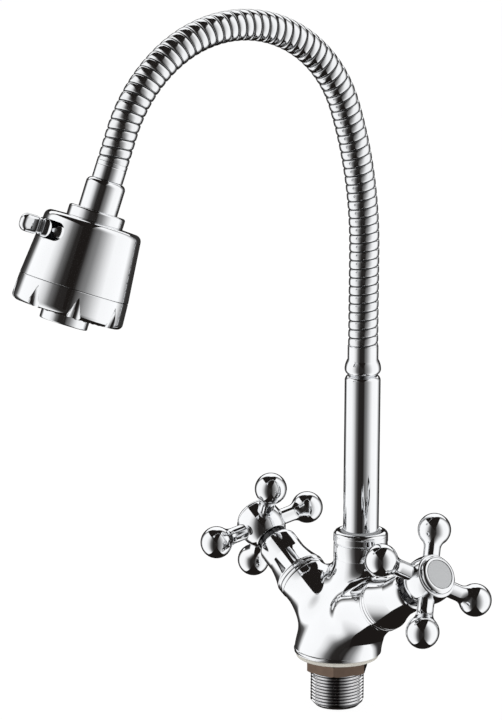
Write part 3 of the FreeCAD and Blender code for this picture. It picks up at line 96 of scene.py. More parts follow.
# Where the two arms' axes meet, and where the parts on an arm start, in millimetres along its axis
ARM_CROSSING = (0, 3.6, 16.8)
BONNET_START = 44.8
GLAND_START = 76.3
HUB_START = 80.8
SPOKE_CENTRE = 92.3
CAP_START = 97.1
DISC_START = 102.9
HANDLE_TURNS = ((HOT, -13.0), (COLD, -32.0))
GLAND_TEETH = 10

# The deck's parts and the casting, in millimetres and degrees
WASHER_HEIGHT = 1.4
NUT_CORNER, NUT_HOLE, NUT_HEIGHT, NUT_TURN = 20.4, 16.55, 7.2, 13
SHANK_CHAMFER = 3.0
INLET_ASIDE = 6.6
CLOSING = 7.0
FRONT_START, FRONT_TOP, FRONT_FOOT = 6.0, 54.0, -8.0
FRONT_RINGS, FRONT_WIDENING = 13, 1.3

# The hose's line in the spout's plane: a rise, three bends of a radius and a turn, and a straight tip
HOSE_START = 193.7
HOSE_RISE = 58.7
HOSE_BENDS = ((271.0, 19.5), (78.5, 106.5), (90.0, 34.0))
HOSE_TIP = 18.4
LINER_GRIP = 8.0
# A line across the hose, given to the hose's pieces but not read there: its height in metres, and its ends' reach
# in millimetres
BEND_HEIGHT = 0.33
BEND_REACHES = (8, 162)

# The selector's slot, plate and finger tab on the spray head
SLOT_CENTRE = 11.6
SLOT_HALF_HEIGHT = 5.6
SLOT_HALF_ANGLE = 30.0
LEVER_SPAN = 42.0
LEVER_HALF_HEIGHT = 5.25
TAB_SIZE = (16.0, 6.4, 10.6)
TAB_CENTRE, TAB_NECK, TAB_LEAN, TAB_ASIDE = 34.9, 31.3, -13.0, 0.6
NOTCHES, NOTCH_HEIGHT, NOTCH_RADIUS, NOTCH_DEPTH = 8, 12.6, 5.75, 15.75


# Sizes and colours that a user would change
def length(name, description, millimetres):
    return bpy.props.FloatProperty(
        name=name, description=description, default=millimetres * MM, subtype="DISTANCE", unit="LENGTH", precision=5
    )


def angle(name, description, degrees):
    return bpy.props.FloatProperty(
        name=name, description=description, default=math.radians(degrees), subtype="ANGLE", unit="ROTATION"
    )


def colour(name, description, rgb):
    return bpy.props.FloatVectorProperty(
        name=name, description=description, default=rgb, subtype="COLOR", size=3, min=0.0, max=1.0
    )


def share(name, description, value):
    return bpy.props.FloatProperty(
        name=name, description=description, default=value, subtype="FACTOR", min=0.0, max=1.0
    )


class TapFinishes(bpy.types.PropertyGroup):
    chrome: colour("Chrome", "Colour of the polished chrome", (0.86, 0.87, 0.885))
    chrome_roughness: share("Chrome roughness", "Roughness of the polished chrome", 0.035)
    hose: colour("Hose chrome", "Colour of the wound hose", (0.84, 0.85, 0.865))
    brass: colour("Brass", "Colour of the bare brass nut", (0.22, 0.155, 0.118))
    thread: colour("Thread", "Colour of the plated thread", (0.93, 0.93, 0.94))
    pale: colour("Pale plastic", "Colour of the gasket under the body", (0.8, 0.77, 0.69))
    bush: colour("Bush plastic", "Colour of the ring round the tube", (0.42, 0.43, 0.44))
    dark: colour("Dark plastic", "Colour of the plastic inside the spray head", (0.05, 0.05, 0.055))
    rubber: colour("Rubber", "Colour of the seals and jets", (0.035, 0.035, 0.037))
    silver: colour("Index silver", "Colour of the discs on the handles", (0.56, 0.57, 0.58))
    ceramic: colour("Ceramic", "Colour of the valve discs", (0.85, 0.84, 0.8))
    floor: colour("Floor", "Colour of the floor", (0.95, 0.95, 0.95))


class TapSizes(bpy.types.PropertyGroup):
    shank_radius: length("Shank radius", "Outer radius of the threaded shank", 16.5)
    shank_length: length("Shank length", "Length of the shank below the deck", 31.2)
    thread_pitch: length("Thread pitch", "Pitch of the shank's thread", 2.0)
    thread_depth: length("Thread depth", "Depth of the shank's thread", 0.95)
    trunk_radius: length("Trunk radius", "Radius of the body's trunk", 27.0)
    column_radius: length("Column radius", "Radius of the column behind the trunk", 16.7)
    column_top: length("Column height", "Height of the column's top", 69.5)
    set_back: length("Set back", "Distance of the spout behind the shank", 18.0)
    tube_radius: length("Tube radius", "Radius of the spout tube", 11.0)
    tube_top: length("Tube height", "Height of the spout tube's top", 175.2)
    arm_rise: angle("Arm rise", "Rise of the two arms", 32.0)
    ball_radius: length("Ball radius", "Radius of a handle's balls", 10.1)
    ball_reach: length("Ball reach", "Distance of the balls from the handle's axis", 34.5)
    hose_radius: length("Hose radius", "Radius over the hose's ribs", 9.2)
    hose_pitch: length("Hose pitch", "Pitch of the hose's ribs", 5.343)
    hose_groove: length("Hose groove", "Depth between the hose's ribs", 0.95)
    spout_swing: angle("Spout swing", "Turn of the spout from the front", 8.0)
    swivel_start: length("Swivel start", "Distance of the swivel nut from the hose's end", 10.6)
    flange_start: length("Flange start", "Distance of the head's flange from the hose's end", 28.9)
    shell_start: length("Shell start", "Distance of the shell's top from the hose's end", 35.2)
    parting: length("Parting line", "Distance of the parting line from the hose's end", 75.0)
    rim: length("Rim", "Distance of the head's rim from the hose's end", 90.9)
    nozzle_end: length("Nozzle end", "Distance of the nozzle's mouth from the hose's end", 96.8)
    shoulder_radius: length("Shoulder radius", "Radius of the spray head at its shoulder", 29.0)
    head_radius: length("Head radius", "Radius of the spray head at its parting line", 32.5)


# Frames of reference
def size():
    return bpy.context.scene.tap_sizes


def lengths(*names):
    """Some of the tap's sizes in millimetres."""
    return [getattr(size(), name) / MM for name in names]


def finish_of():
    return bpy.context.scene.tap_finishes


def basis(origin, x_axis, z_axis):
    """A frame with that origin and those two axes."""
    x_axis = Vector(x_axis).normalized()
    z_axis = Vector(z_axis).normalized()
    y_axis = z_axis.cross(x_axis)
    turn = Matrix((x_axis, y_axis, z_axis)).transposed().to_4x4()
    return Matrix.Translation(Vector(origin)) @ turn


def shift(x=0.0, y=0.0, z=0.0):
    """A move, in millimetres."""
    return Matrix.Translation((x * MM, y * MM, z * MM))


def on_shank(height=0.0):
    return Matrix.Translation((0, 0, height * MM))


def on_column(height=0.0):
    return Matrix.Translation((0, size().set_back, height * MM))


def on_arm(side, distance=0.0, turn=0.0):
    """A frame on an arm's axis with Z out along the arm."""
    lean = SIDES[side] * (math.pi / 2 - size().arm_rise)
    return shift(*ARM_CROSSING) @ Matrix.Rotation(lean, 4, "Y") @ shift(z=distance) @ Matrix.Rotation(turn, 4, "Z")


def hose_length():
    return HOSE_RISE + sum(radius * math.radians(turn) for radius, turn in HOSE_BENDS) + HOSE_TIP


def spout_plane():
    """A frame on the column with X out towards the spray head and Z up."""
    swing = size().spout_swing
    return basis((0, size().set_back, 0), (-math.sin(swing), -math.cos(swing), 0), (0, 0, 1))


def along_hose(distance):
    """A frame on the hose's line, its Z along the hose and its X towards the outside of the arch."""
    reach, height, turned_by = 0.0, HOSE_START, 0.0
    runs = [(None, HOSE_RISE)] + [(r, r * math.radians(a)) for r, a in HOSE_BENDS] + [(None, HOSE_TIP)]
    for number, (radius, run) in enumerate(runs):
        step = distance if number == len(runs) - 1 else min(distance, run)
        if radius is None:
            reach += math.sin(turned_by) * step
            height += math.cos(turned_by) * step
        else:
            centre = (reach + radius * math.cos(turned_by), height - radius * math.sin(turned_by))
            turned_by += step / radius
            reach = centre[0] - radius * math.cos(turned_by)
            height = centre[1] + radius * math.sin(turned_by)
        distance -= step
        if distance <= 0:
            break
    local = basis(
        (reach * MM, 0, height * MM),
        (-math.cos(turned_by), 0, math.sin(turned_by)),
        (math.sin(turned_by), 0, math.cos(turned_by)),
    )
    return spout_plane() @ local


def on_head(distance=0.0, turn=0.0):
    """A frame on the spray head's axis, Z out of the nozzle and X away from the column."""
    # The two half turns cancel. They stay, because the rounding of the notches' edges hangs on the last digit here.
    end = along_hose(hose_length())
    out = basis(end.translation, -end.col[0].xyz, end.col[2].xyz) @ shift(z=distance)
    return out @ Matrix.Rotation(math.pi, 4, "Z") @ Matrix.Rotation(turn, 4, "Z")


# Making meshes
def arc(start, stop, radius, side, steps=8):
    """Points of an arc from start to stop, without the first. side is 1 to bulge to the right of the way."""
    a, b = Vector(start), Vector(stop)
    chord = b - a
    left = Vector((-chord.y, chord.x)).normalized()
    rise = math.sqrt(max(radius**2 - (chord.length / 2) ** 2, 0.0))
    centre = (a + b) / 2 + left * side * rise
    first = math.atan2(a.y - centre.y, a.x - centre.x)
    last = math.atan2(b.y - centre.y, b.x - centre.x)
    sweep = (last - first + math.pi) % (2 * math.pi) - math.pi
    return [
        (centre.x + radius * math.cos(way), centre.y + radius * math.sin(way))
        for way in (first + sweep * i / steps for i in range(1, steps + 1))
    ]


def spun(outline, steps=96):
    """A bmesh turned about Z from (radius, height) points in millimetres, closed or from axis to axis."""
    shape = bmesh.new()
    points = [shape.verts.new((r * MM, 0, z * MM)) for r, z in outline]
    closed = outline[0][0] > 1e-6 and outline[-1][0] > 1e-6
    pairs = list(zip(points, points[1:])) + ([(points[-1], points[0])] if closed else [])
    edges = [shape.edges.new(pair) for pair in pairs]
    bmesh.ops.spin(
        shape, geom=points + edges, cent=(0, 0, 0), axis=(0, 0, 1), dvec=(0, 0, 0), angle=math.tau,
        steps=steps, use_merge=True, use_duplicate=False,
    )
    bmesh.ops.remove_doubles(shape, verts=shape.verts, dist=1e-7)
    bmesh.ops.recalc_face_normals(shape, faces=shape.faces)
    return shape


def band(inner, outer, low, high, steps=96):
    """A plain ring between two radii and two heights in millimetres, or a disc where the inner radius is 0."""
    return spun([(inner, low), (outer, low), (outer, high), (inner, high)], steps)


def wound(outline, pitch, turns, steps=48):
    """A right-handed winding of one pitch's outline, doubled along Z until it has that many turns."""
    shape = bmesh.new()
    points = [shape.verts.new((r * MM, 0, z * pitch * MM)) for r, z in outline]
    edges = [shape.edges.new(pair) for pair in zip(points, points[1:])]
    bmesh.ops.spin(
        shape, geom=points + edges, cent=(0, 0, 0), axis=(0, 0, 1), dvec=(0, 0, pitch * MM / steps),
        angle=math.tau, steps=steps, use_merge=False, use_duplicate=False,
    )
    made = 1
    while made < turns:
        copy = bmesh.ops.duplicate(shape, geom=shape.verts[:] + shape.edges[:] + shape.faces[:])
        fresh = [v for v in copy["geom"] if isinstance(v, bmesh.types.BMVert)]
        bmesh.ops.translate(shape, verts=fresh, vec=(0, 0, pitch * made * MM))
        made *= 2
    bmesh.ops.remove_doubles(shape, verts=shape.verts, dist=1e-6)
    return shape


def brick(*sides):
    """A cuboid round the origin, its sides in millimetres."""
    shape = bmesh.new()
    bmesh.ops.create_cube(shape, size=1.0)
    bmesh.ops.scale(shape, vec=[side * MM for side in sides], verts=shape.verts)
    return shape


def cone(bottom, top, low, high, steps):
    """A closed cone with a radius at each of two heights, in millimetres."""
    shape = bmesh.new()
    bmesh.ops.create_cone(
        shape, cap_ends=True, segments=steps, radius1=bottom * MM, radius2=top * MM, depth=(high - low) * MM)
    return moved(shape, shift(z=(high + low) / 2))


def cut_across(shape, at, outward, clear=True):
    """Cut a bmesh along a plane, clear what lies outward of it if asked, and return the cut's edges."""
    cut = bmesh.ops.bisect_plane(
        shape, geom=shape.verts[:] + shape.edges[:] + shape.faces[:], dist=1e-7, plane_co=at, plane_no=outward,
        clear_outer=clear, clear_inner=False,
    )
    return [part for part in cut["geom_cut"] if isinstance(part, bmesh.types.BMEdge)]


def trimmed(shape, low, high):
    """Cut a bmesh off below one height and above another, both in millimetres."""
    for height, outward in ((low, -1), (high, 1)):
        cut_across(shape, (0, 0, height * MM), (0, 0, outward))
    bmesh.ops.recalc_face_normals(shape, faces=shape.faces)
    return shape


def bevel(shape, edges, width, segments):
    bmesh.ops.bevel(
        shape, geom=edges, offset=width * MM, offset_type="OFFSET", segments=segments, profile=0.5,
        affect="EDGES", material=-1, clamp_overlap=True,
    )
    return shape


def soften(shape, width=0.25, segments=2, above=32.0):
    """Bevel the sharp edges of a bmesh."""
    sharp = [e for e in shape.edges if e.is_manifold and e.calc_face_angle(0.0) > math.radians(above)]
    return bevel(shape, sharp, width, segments)


def moved(shape, place):
    bmesh.ops.transform(shape, matrix=place, verts=shape.verts)
    return shape


def joined(shapes):
    """One bmesh that holds several, which are freed."""
    whole = bmesh.new()
    for shape in shapes:
        holder = bpy.data.meshes.new("holder")
        shape.to_mesh(holder)
        shape.free()
        whole.from_mesh(holder)
        bpy.data.meshes.remove(holder)
    return whole


def as_object(name, shape):
    mesh = bpy.data.meshes.new(name)
    shape.to_mesh(mesh)
    shape.free()
    thing = bpy.data.objects.new(name, mesh)
    bpy.context.scene.collection.objects.link(thing)
    return thing


def baked(thing):
    """Replace an object's mesh by its mesh with the modifiers applied."""
    bpy.context.view_layer.update()
    graph = bpy.context.evaluated_depsgraph_get()
    mesh = bpy.data.meshes.new_from_object(thing.evaluated_get(graph))
    thing.modifiers.clear()
    thing.data = mesh
    return thing


def carve(thing, tool_shape, width=0.0, above=35):
    """Cut a shape out of an object and, where a width is given, round the new edges."""
    tool = as_object("cutter", tool_shape)
    cutting = thing.modifiers.new("cutting", "BOOLEAN")
    cutting.operation = "DIFFERENCE"
    cutting.object = tool
    if width:
        rounding = thing.modifiers.new("rounding", "BEVEL")
        rounding.width = width * MM
        rounding.segments = 2
        rounding.angle_limit = math.radians(above)
    baked(thing)
    bpy.data.objects.remove(tool)
    return thing


def piece(name, shape, body, material, replaces=(), level=True, bends=None):
    """A finished piece on a body, or, where bends is given, fixed in place without a body, with its material and
    smooth faces.
    """
    thing = shape if isinstance(shape, bpy.types.Object) else as_object(name, shape)
    thing.name = name
    thing.data.polygons.foreach_set("use_smooth", [True] * len(thing.data.polygons))
    thing.data.set_sharp_from_angle(angle=math.radians(50))
    if level:
        even = thing.modifiers.new("even_normals", "WEIGHTED_NORMAL")
        even.keep_sharp = True
    thing.data.materials.clear()
    thing.data.materials.append(material)
    if bends:
        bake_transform(thing)
    else:
        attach(thing, body)
    if replaces:
        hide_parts(*replaces)
    return thing


def turned(name, outline, place, body, replaces, steps=128, width=0.12, material=None):
    """A finished piece spun from its outline, with soft edges, and of chrome unless a material is given."""
    shape = moved(soften(spun(outline, steps), width), place)
    return piece(name, shape, body, material or chrome(), replaces)


# Materials
class Wire:
    """A shader socket that joins up through Math nodes when Python's operators are used on it."""

    def __init__(self, tree, socket):
        self.tree = tree
        self.socket = socket

    def math(self, operation, first, second=None):
        values = [first] if second is None else [first, second]
        return add_node(self.tree, "ShaderNodeMath", {"operation": operation}, dict(enumerate(values)))

    def __add__(self, other):
        return self.math("ADD", self, other)

    def __radd__(self, other):
        return self.math("ADD", other, self)

    def __sub__(self, other):
        return self.math("SUBTRACT", self, other)

    def __rsub__(self, other):
        return self.math("SUBTRACT", other, self)

    def __mul__(self, other):
        return self.math("MULTIPLY", self, other)

    def __rmul__(self, other):
        return self.math("MULTIPLY", other, self)

    def above(self, limit):
        return self.math("GREATER_THAN", self, limit)


def add_node(tree, kind, settings=None, inputs=None, output=0):
    """Add a node: its settings first, then values or links for its sockets. Returns one output as a Wire."""
    made = tree.nodes.new(kind)
    for name, value in (settings or {}).items():
        if name == "stops":
            for number, (position, tint) in enumerate(value):
                stop = made.color_ramp.elements[number] if number < 2 else made.color_ramp.elements.new(position)
                stop.position = position
                stop.color = tint
        else:
            setattr(made, name, value)
    for key, value in (inputs or {}).items():
        if isinstance(value, Wire):
            tree.links.new(value.socket, made.inputs[key])
        else:
            made.inputs[key].default_value = value
    return Wire(tree, made.outputs[output])


def opaque(rgb):
    return rgb if isinstance(rgb, Wire) else (*rgb, 1.0)


def surface(name, build):
    """A material whose Principled sockets come from build(tree, where), where is the Object coordinate.

    Its name starts with tap_, so that it stays apart from the materials named after the record's slots.
    """
    name = "tap_" + name
    old = bpy.data.materials.get(name)
    if old is not None:
        return old
    made = bpy.data.materials.new(name)
    made.use_nodes = True
    tree = made.node_tree
    shader = next(n for n in tree.nodes if n.type == "BSDF_PRINCIPLED")
    where = add_node(tree, "ShaderNodeTexCoord", output="Object")
    for key, value in build(tree, where).items():
        if isinstance(value, Wire):
            tree.links.new(value.socket, shader.inputs[key])
        else:
            shader.inputs[key].default_value = value
    return made


def noise(tree, where, scale, detail=2.0):
    return add_node(tree, "ShaderNodeTexNoise", None, {"Vector": where, "Scale": scale, "Detail": detail}, "Fac")


def tinted(tree, low, high, mask):
    return add_node(
        tree, "ShaderNodeMix", {"data_type": "RGBA"}, {"Factor": mask, 6: opaque(low), 7: opaque(high)}, output=2
    )


def bump(tree, height, strength, distance):
    return add_node(
        tree, "ShaderNodeBump", None, {"Height": height, "Strength": strength, "Distance": distance * MM}, "Normal"
    )


def chrome():
    look = finish_of()

    def build(tree, where):
        cloud = noise(tree, where, 60.0, 3.0)
        fine = noise(tree, where, 900.0, 2.0)
        deep = [c * 0.96 for c in look.chrome]
        return {
            "Metallic": 1.0,
            "Base Color": tinted(tree, deep, look.chrome, cloud),
            "Roughness": look.chrome_roughness + cloud * 0.02 + fine * 0.012,
            "Normal": bump(tree, noise(tree, where, 25.0, 1.0), 0.05, 0.4),
        }

    return surface("polished_chrome", build)


def grained(name, rgb, shade, cloud, fine, roughness, spread, relief, depth=0.05, metallic=1.0):
    """A surface that clouds over to a darker shade, with a fine grain in its gloss and its relief."""

    def build(tree, where):
        grain = noise(tree, where, *fine)
        return {
            "Metallic": metallic,
            "Base Color": tinted(tree, [c * shade for c in rgb], rgb, noise(tree, where, *cloud)),
            "Roughness": roughness + grain * spread,
            "Normal": bump(tree, grain, relief, depth),
        }

    return surface(name, build)


def hose_chrome():
    return grained("wound_hose_chrome", finish_of().hose, 0.93, (45.0, 3.0), (1400.0, 2.0), 0.09, 0.06, 0.06)


def bare_brass():
    return grained("bare_brass", finish_of().brass, 0.4, (90.0, 4.0), (1600.0, 3.0), 0.09, 0.08, 0.2)


def moulded(name, rgb, roughness, relief):
    return grained(name, rgb, 0.86, (140.0, 3.0), (2600.0, 2.0), roughness, 0.12, relief, 0.04, 0.0)


def index_silver():
    grain = (2200.0, 3.0)
    return grained("satin_index_silver", finish_of().silver, 0.9, grain, grain, 0.34, 0.12, 0.2, 0.03, 0.7)


def plated_thread():
    """Bright crests, with painted shade in the grooves: the colour darkens just over the thread's root radius. The
    bore, the socket and the screws stay bright.
    """
    look = finish_of()

    def build(tree, where):
        cloud = noise(tree, where, 120.0, 3.0)
        dull = [c * 0.86 for c in look.thread]
        flat = add_node(tree, "ShaderNodeVectorMath", {"operation": "MULTIPLY"}, {0: where, 1: (1.0, 1.0, 0.0)})
        reach = add_node(tree, "ShaderNodeVectorMath", {"operation": "LENGTH"}, {0: flat}, "Value")
        depth = size().thread_depth
        root = size().shank_radius - depth
        # Painted shade: the colour is darkened in the band of radius just over the root, where the grooves lie.
        groove = reach.above(root - 0.1 * MM) * (1.0 - reach.above(root + depth * 0.3))
        return {
            "Metallic": 1.0,
            "Base Color": tinted(tree, tinted(tree, dull, look.thread, cloud), (0.12, 0.12, 0.125), groove),
            "Roughness": 0.08 + cloud * 0.06,
            "Normal": bump(tree, noise(tree, where, 1500.0, 2.0), 0.12, 0.05),
        }

    return surface("plated_thread", build)


def woven_steel(name, place):
    """Fine woven mesh on a plane that is square to place's Z axis."""
    turn = place.inverted()

    def build(tree, where):
        flat = add_node(tree, "ShaderNodeMapping", None, {
            "Vector": where, "Location": turn.translation, "Rotation": tuple(turn.to_euler()),
        }, "Vector")
        across, along = [
            add_node(tree, "ShaderNodeTexWave", {"wave_type": "BANDS", "bands_direction": direction},
                     {"Vector": flat, "Scale": 160.0, "Distortion": 0.0}, "Fac")
            for direction in ("X", "Y")
        ]
        weave = across * along
        return {
            "Metallic": 1.0,
            "Base Color": tinted(tree, (0.5, 0.5, 0.51), (0.04, 0.04, 0.04), weave),
            "Roughness": 0.3 + weave * 0.4,
            "Normal": bump(tree, 1.0 - weave, 0.8, 0.3),
        }

    return surface(name, build)


# The studio
def ray(tree, kind):
    """1 on that kind of ray and 0 on the others."""
    return add_node(tree, "ShaderNodeLightPath", output="Is %s Ray" % kind)


def studio_world():
    """A white background. In the metal it shows as two tall soft boxes, with the dark room in the gaps."""
    world = bpy.data.worlds.new("studio")
    world.use_nodes = True
    tree = world.node_tree
    tree.nodes.clear()
    way = add_node(tree, "ShaderNodeTexCoord", output="Generated")
    facing = (math.sin(CAMERA_AZIMUTH), -math.cos(CAMERA_AZIMUTH), 0.0)
    across = (math.cos(CAMERA_AZIMUTH), math.sin(CAMERA_AZIMUTH), 0.0)
    toward, right, up = [
        add_node(tree, "ShaderNodeVectorMath", {"operation": "DOT_PRODUCT"}, {0: way, 1: axis}, "Value")
        for axis in (facing, across, (0.0, 0.0, 1.0))
    ]
    bearing = right.math("ARCTAN2", right, toward) * (0.5 / math.pi) + 0.5
    ring = ramp(tree, bearing, [((degrees + 180.0) / 360.0, level) for degrees, level in STUDIO_BANDS])
    boxes = 0.0
    for degrees, top, bottom in STUDIO_BOXES:
        ahead = toward * math.cos(math.radians(degrees)) + right * math.sin(math.radians(degrees))
        boxes = boxes + (ahead * top - up).above(0.0) * (ahead * bottom + up).above(0.0)
    sheet = (-SHEET_BACK - toward - right.math("ABSOLUTE", right) * SHEET_SIDE).above(0.0) * up.above(SHEET_EDGE)
    shown = tinted(tree, DARK_ROOM, WHITE, ring * boxes)
    shown = tinted(tree, shown, WHITE, sheet)
    mirror = ray(tree, "Glossy") + ray(tree, "Transmission")
    seen = tinted(tree, tinted(tree, ROOM_LIGHT, WHITE, ray(tree, "Camera")), shown, mirror)
    glow = add_node(tree, "ShaderNodeBackground", None, {"Color": seen, "Strength": mirror * MIRROR_GAIN + 1.0})
    end = tree.nodes.new("ShaderNodeOutputWorld")
    tree.links.new(glow.socket, end.inputs["Surface"])
    bpy.context.scene.world = world


def ramp(tree, factor, levels):
    stops = [(position, (level, level, level, 1.0)) for position, level in levels]
    return add_node(tree, "ShaderNodeValToRGB", {"stops": stops}, {0: factor}, "Color")


class TAP_OT_stage(bpy.types.Operator):
    """Build the floor, the light and the camera"""

    bl_idname = "tap.stage"
    bl_label = "Studio"

    def execute(self, context):
        studio_world()
        ground = bmesh.new()
        bmesh.ops.create_grid(ground, x_segments=1, y_segments=1, size=FLOOR_SIZE)
        moved(ground, Matrix.Translation((0, 0, -size().shank_length - FLOOR_GAP * MM)))
        floor = as_object("floor", ground)
        floor.data.materials.append(self.floor_material())
        floor.visible_glossy = False
        for name, at, watts, across in LAMPS:
            lamp = bpy.data.lights.new(name, "AREA")
            lamp.energy = watts
            lamp.size = across
            lamp.specular_factor = 0.0
            light = bpy.data.objects.new(name, lamp)
            aim = (Vector(at) - CAMERA_TARGET).to_track_quat("Z", "Y").to_matrix().to_4x4()
            light.matrix_world = Matrix.Translation(at) @ aim
            light.visible_glossy = False
            context.scene.collection.objects.link(light)
        self.camera(context)
        context.scene.view_settings.view_transform = "Standard"
        return {"FINISHED"}

    def floor_material(self):
        made = bpy.data.materials.new("pale_floor")
        made.use_nodes = True
        tree = made.node_tree
        tree.nodes.clear()
        matt = add_node(tree, "ShaderNodeBsdfDiffuse", None, {"Color": opaque(finish_of().floor)})
        white = add_node(tree, "ShaderNodeEmission", None, {"Color": opaque(WHITE), "Strength": FLOOR_GLOW})
        seen = ray(tree, "Camera") + ray(tree, "Glossy") + ray(tree, "Transmission")
        mixed = add_node(tree, "ShaderNodeMixShader", None, {0: seen * FLOOR_GLOW_SHARE, 1: matt, 2: white})
        end = tree.nodes.new("ShaderNodeOutputMaterial")
        tree.links.new(mixed.socket, end.inputs["Surface"])
        return made

    def camera(self, context):
        """Stand the camera where the photograph was taken, so that the target falls on its pixel."""
        back = Vector((
            math.sin(CAMERA_AZIMUTH) * math.cos(CAMERA_RISE),
            -math.cos(CAMERA_AZIMUTH) * math.cos(CAMERA_RISE),
            math.sin(CAMERA_RISE),
        ))
        eye = CAMERA_TARGET + back * CAMERA_DISTANCE
        look = back.to_track_quat("Z", "Y").to_matrix().to_4x4()
        roll = Matrix.Rotation(-CAMERA_ROLL, 4, "Z")
        aside = Matrix.Rotation(math.atan((TARGET_PIXEL[0] - PHOTO[0] / 2) / CAMERA_PIXELS), 4, "Y")
        down = Matrix.Rotation(math.atan((TARGET_PIXEL[1] - PHOTO[1] / 2) / CAMERA_PIXELS), 4, "X")
        lens = bpy.data.cameras.new("camera")
        lens.sensor_width = SENSOR
        lens.lens = SENSOR * CAMERA_PIXELS / PHOTO[1]
        lens.clip_end = 50.0
        camera = bpy.data.objects.new("camera", lens)
        camera.matrix_world = Matrix.Translation(eye) @ look @ roll @ aside @ down
        context.scene.collection.objects.link(camera)
        context.scene.camera = camera


class TAP_OT_casting(bpy.types.Operator):
    """Model the cast body with its soft blends between foot, column and arms"""

    bl_idname = "tap.casting"
    bl_label = "Cast body"

    def execute(self, context):
        foot, column = lengths("trunk_radius", "column_radius")
        blanks = [self.slanting_front(foot, column), moved(band(0, column, 20, 80, 128), on_column())]
        for side in SIDES:
            arm = [(0, 0), (13.0, 0)]
            arm += arc((13.0, 0), (19.4, 21.0), 60.0, 1, 8)
            arm += arc((19.4, 21.0), (15.7, 38.8), 60.0, -1, 10)
            arm += [(16.2, 42.6), (16.2, 54.0), (0, 54.0)]
            blanks.append(moved(spun(arm, 128), on_arm(side)))
        blob = as_object("body_casting_skin", joined(blanks))
        # Swell, melt and shrink again, so that the hollows between the arms and the column fill with soft blends
        reach = CLOSING * MM
        for swell, voxel, rounds in ((0.0, 1.0, 6), (reach, 1.0, 16), (-reach, 0.62, 90)):
            if swell:
                grow = blob.modifiers.new("swell", "DISPLACE")
                grow.mid_level = 0.0
                grow.strength = swell
            melt = blob.modifiers.new("melt", "REMESH")
            melt.mode = "VOXEL"
            melt.voxel_size = voxel * MM
            ease = blob.modifiers.new("ease", "SMOOTH")
            ease.factor = 0.5
            ease.iterations = rounds
        baked(blob)
        carve(blob, self.cut_offs())
        carve(blob, self.hollows())
        whole = bmesh.new()
        whole.from_mesh(blob.data)
        whole = joined([whole] + [soften(rim, 0.2) for rim in self.rims(foot, column)])
        bpy.data.objects.remove(blob)
        piece("body_casting_skin", whole, "mixer_body", chrome(), ["body_casting"], level=False)
        return {"FINISHED"}

    def slanting_front(self, foot, column):
        """The round foot that leans back and narrows, ring by ring, until it is the column."""
        shape = bmesh.new()
        rings = []
        for step in range(FRONT_RINGS):
            height = FRONT_FOOT + (FRONT_TOP - FRONT_FOOT) * step / (FRONT_RINGS - 1)
            share_up = max(0.0, (height - FRONT_START) / (FRONT_TOP - FRONT_START))
            radius = foot - 0.1 + (column - foot) * share_up
            made = bmesh.ops.create_circle(shape, cap_ends=False, radius=radius * MM, segments=96)
            wide = 1.0 + FRONT_WIDENING * share_up * (1.0 - share_up) ** 2
            bmesh.ops.scale(shape, vec=(wide, 1.0, 1.0), verts=made["verts"])
            bmesh.ops.translate(shape, verts=made["verts"], vec=(0, size().set_back * share_up, height * MM))
            ring = set(made["verts"])
            rings.append([edge for edge in shape.edges if all(v in ring for v in edge.verts)])
        for low, high in zip(rings, rings[1:]):
            bmesh.ops.bridge_loops(shape, edges=low + high)
        for ring in (rings[0], rings[-1]):
            bmesh.ops.edgeloop_fill(shape, edges=ring)
        bmesh.ops.recalc_face_normals(shape, faces=shape.faces)
        return shape

    def cut_offs(self):
        """Discs that cut the melted body off at the deck, at the column's top and at both arms' ends."""
        discs = [band(0, 45, -20, 3.0, 64), moved(band(0, 30, 69.0, 95, 64), on_column())]
        discs += [moved(band(0, 26, 44.2, 70, 64), on_arm(side)) for side in SIDES]
        return joined(discs)

    def hollows(self):
        """The socket for the shank and the two tapped inlets, as one cutter."""
        tools = [band(0, 15.0, 1.0, 12.1)]
        for aside in (-INLET_ASIDE, INLET_ASIDE):
            tools.append(moved(band(0, 4.5, 11.0, 22.0, 48), shift(aside)))
        return joined(tools)

    def rims(self, foot, column):
        """The turned edges at the deck, at the column's top and at the arms' ends."""
        edge = [(15.2, 2.5), (24.9, 2.5)] + arc((24.9, 2.5), (foot, 4.9), 2.5, 1, 8)
        edge += [(foot - 0.7, 5.5), (15.2, 5.5)]
        collar = [(12.6, 60.0), (column + 0.02, 60.0), (column + 0.02, 69.1), (column - 0.35, 69.5), (12.6, 69.5)]
        rims = [spun(edge, 160), moved(spun(collar, 128), on_column())]
        for side in SIDES:
            rim = [(10.7, 42.0), (16.1, 42.2), (16.3, 42.9), (16.3, 44.55), (16.05, 44.8), (10.7, 44.8)]
            rims.append(moved(spun(rim, 128), on_arm(side)))
        return rims


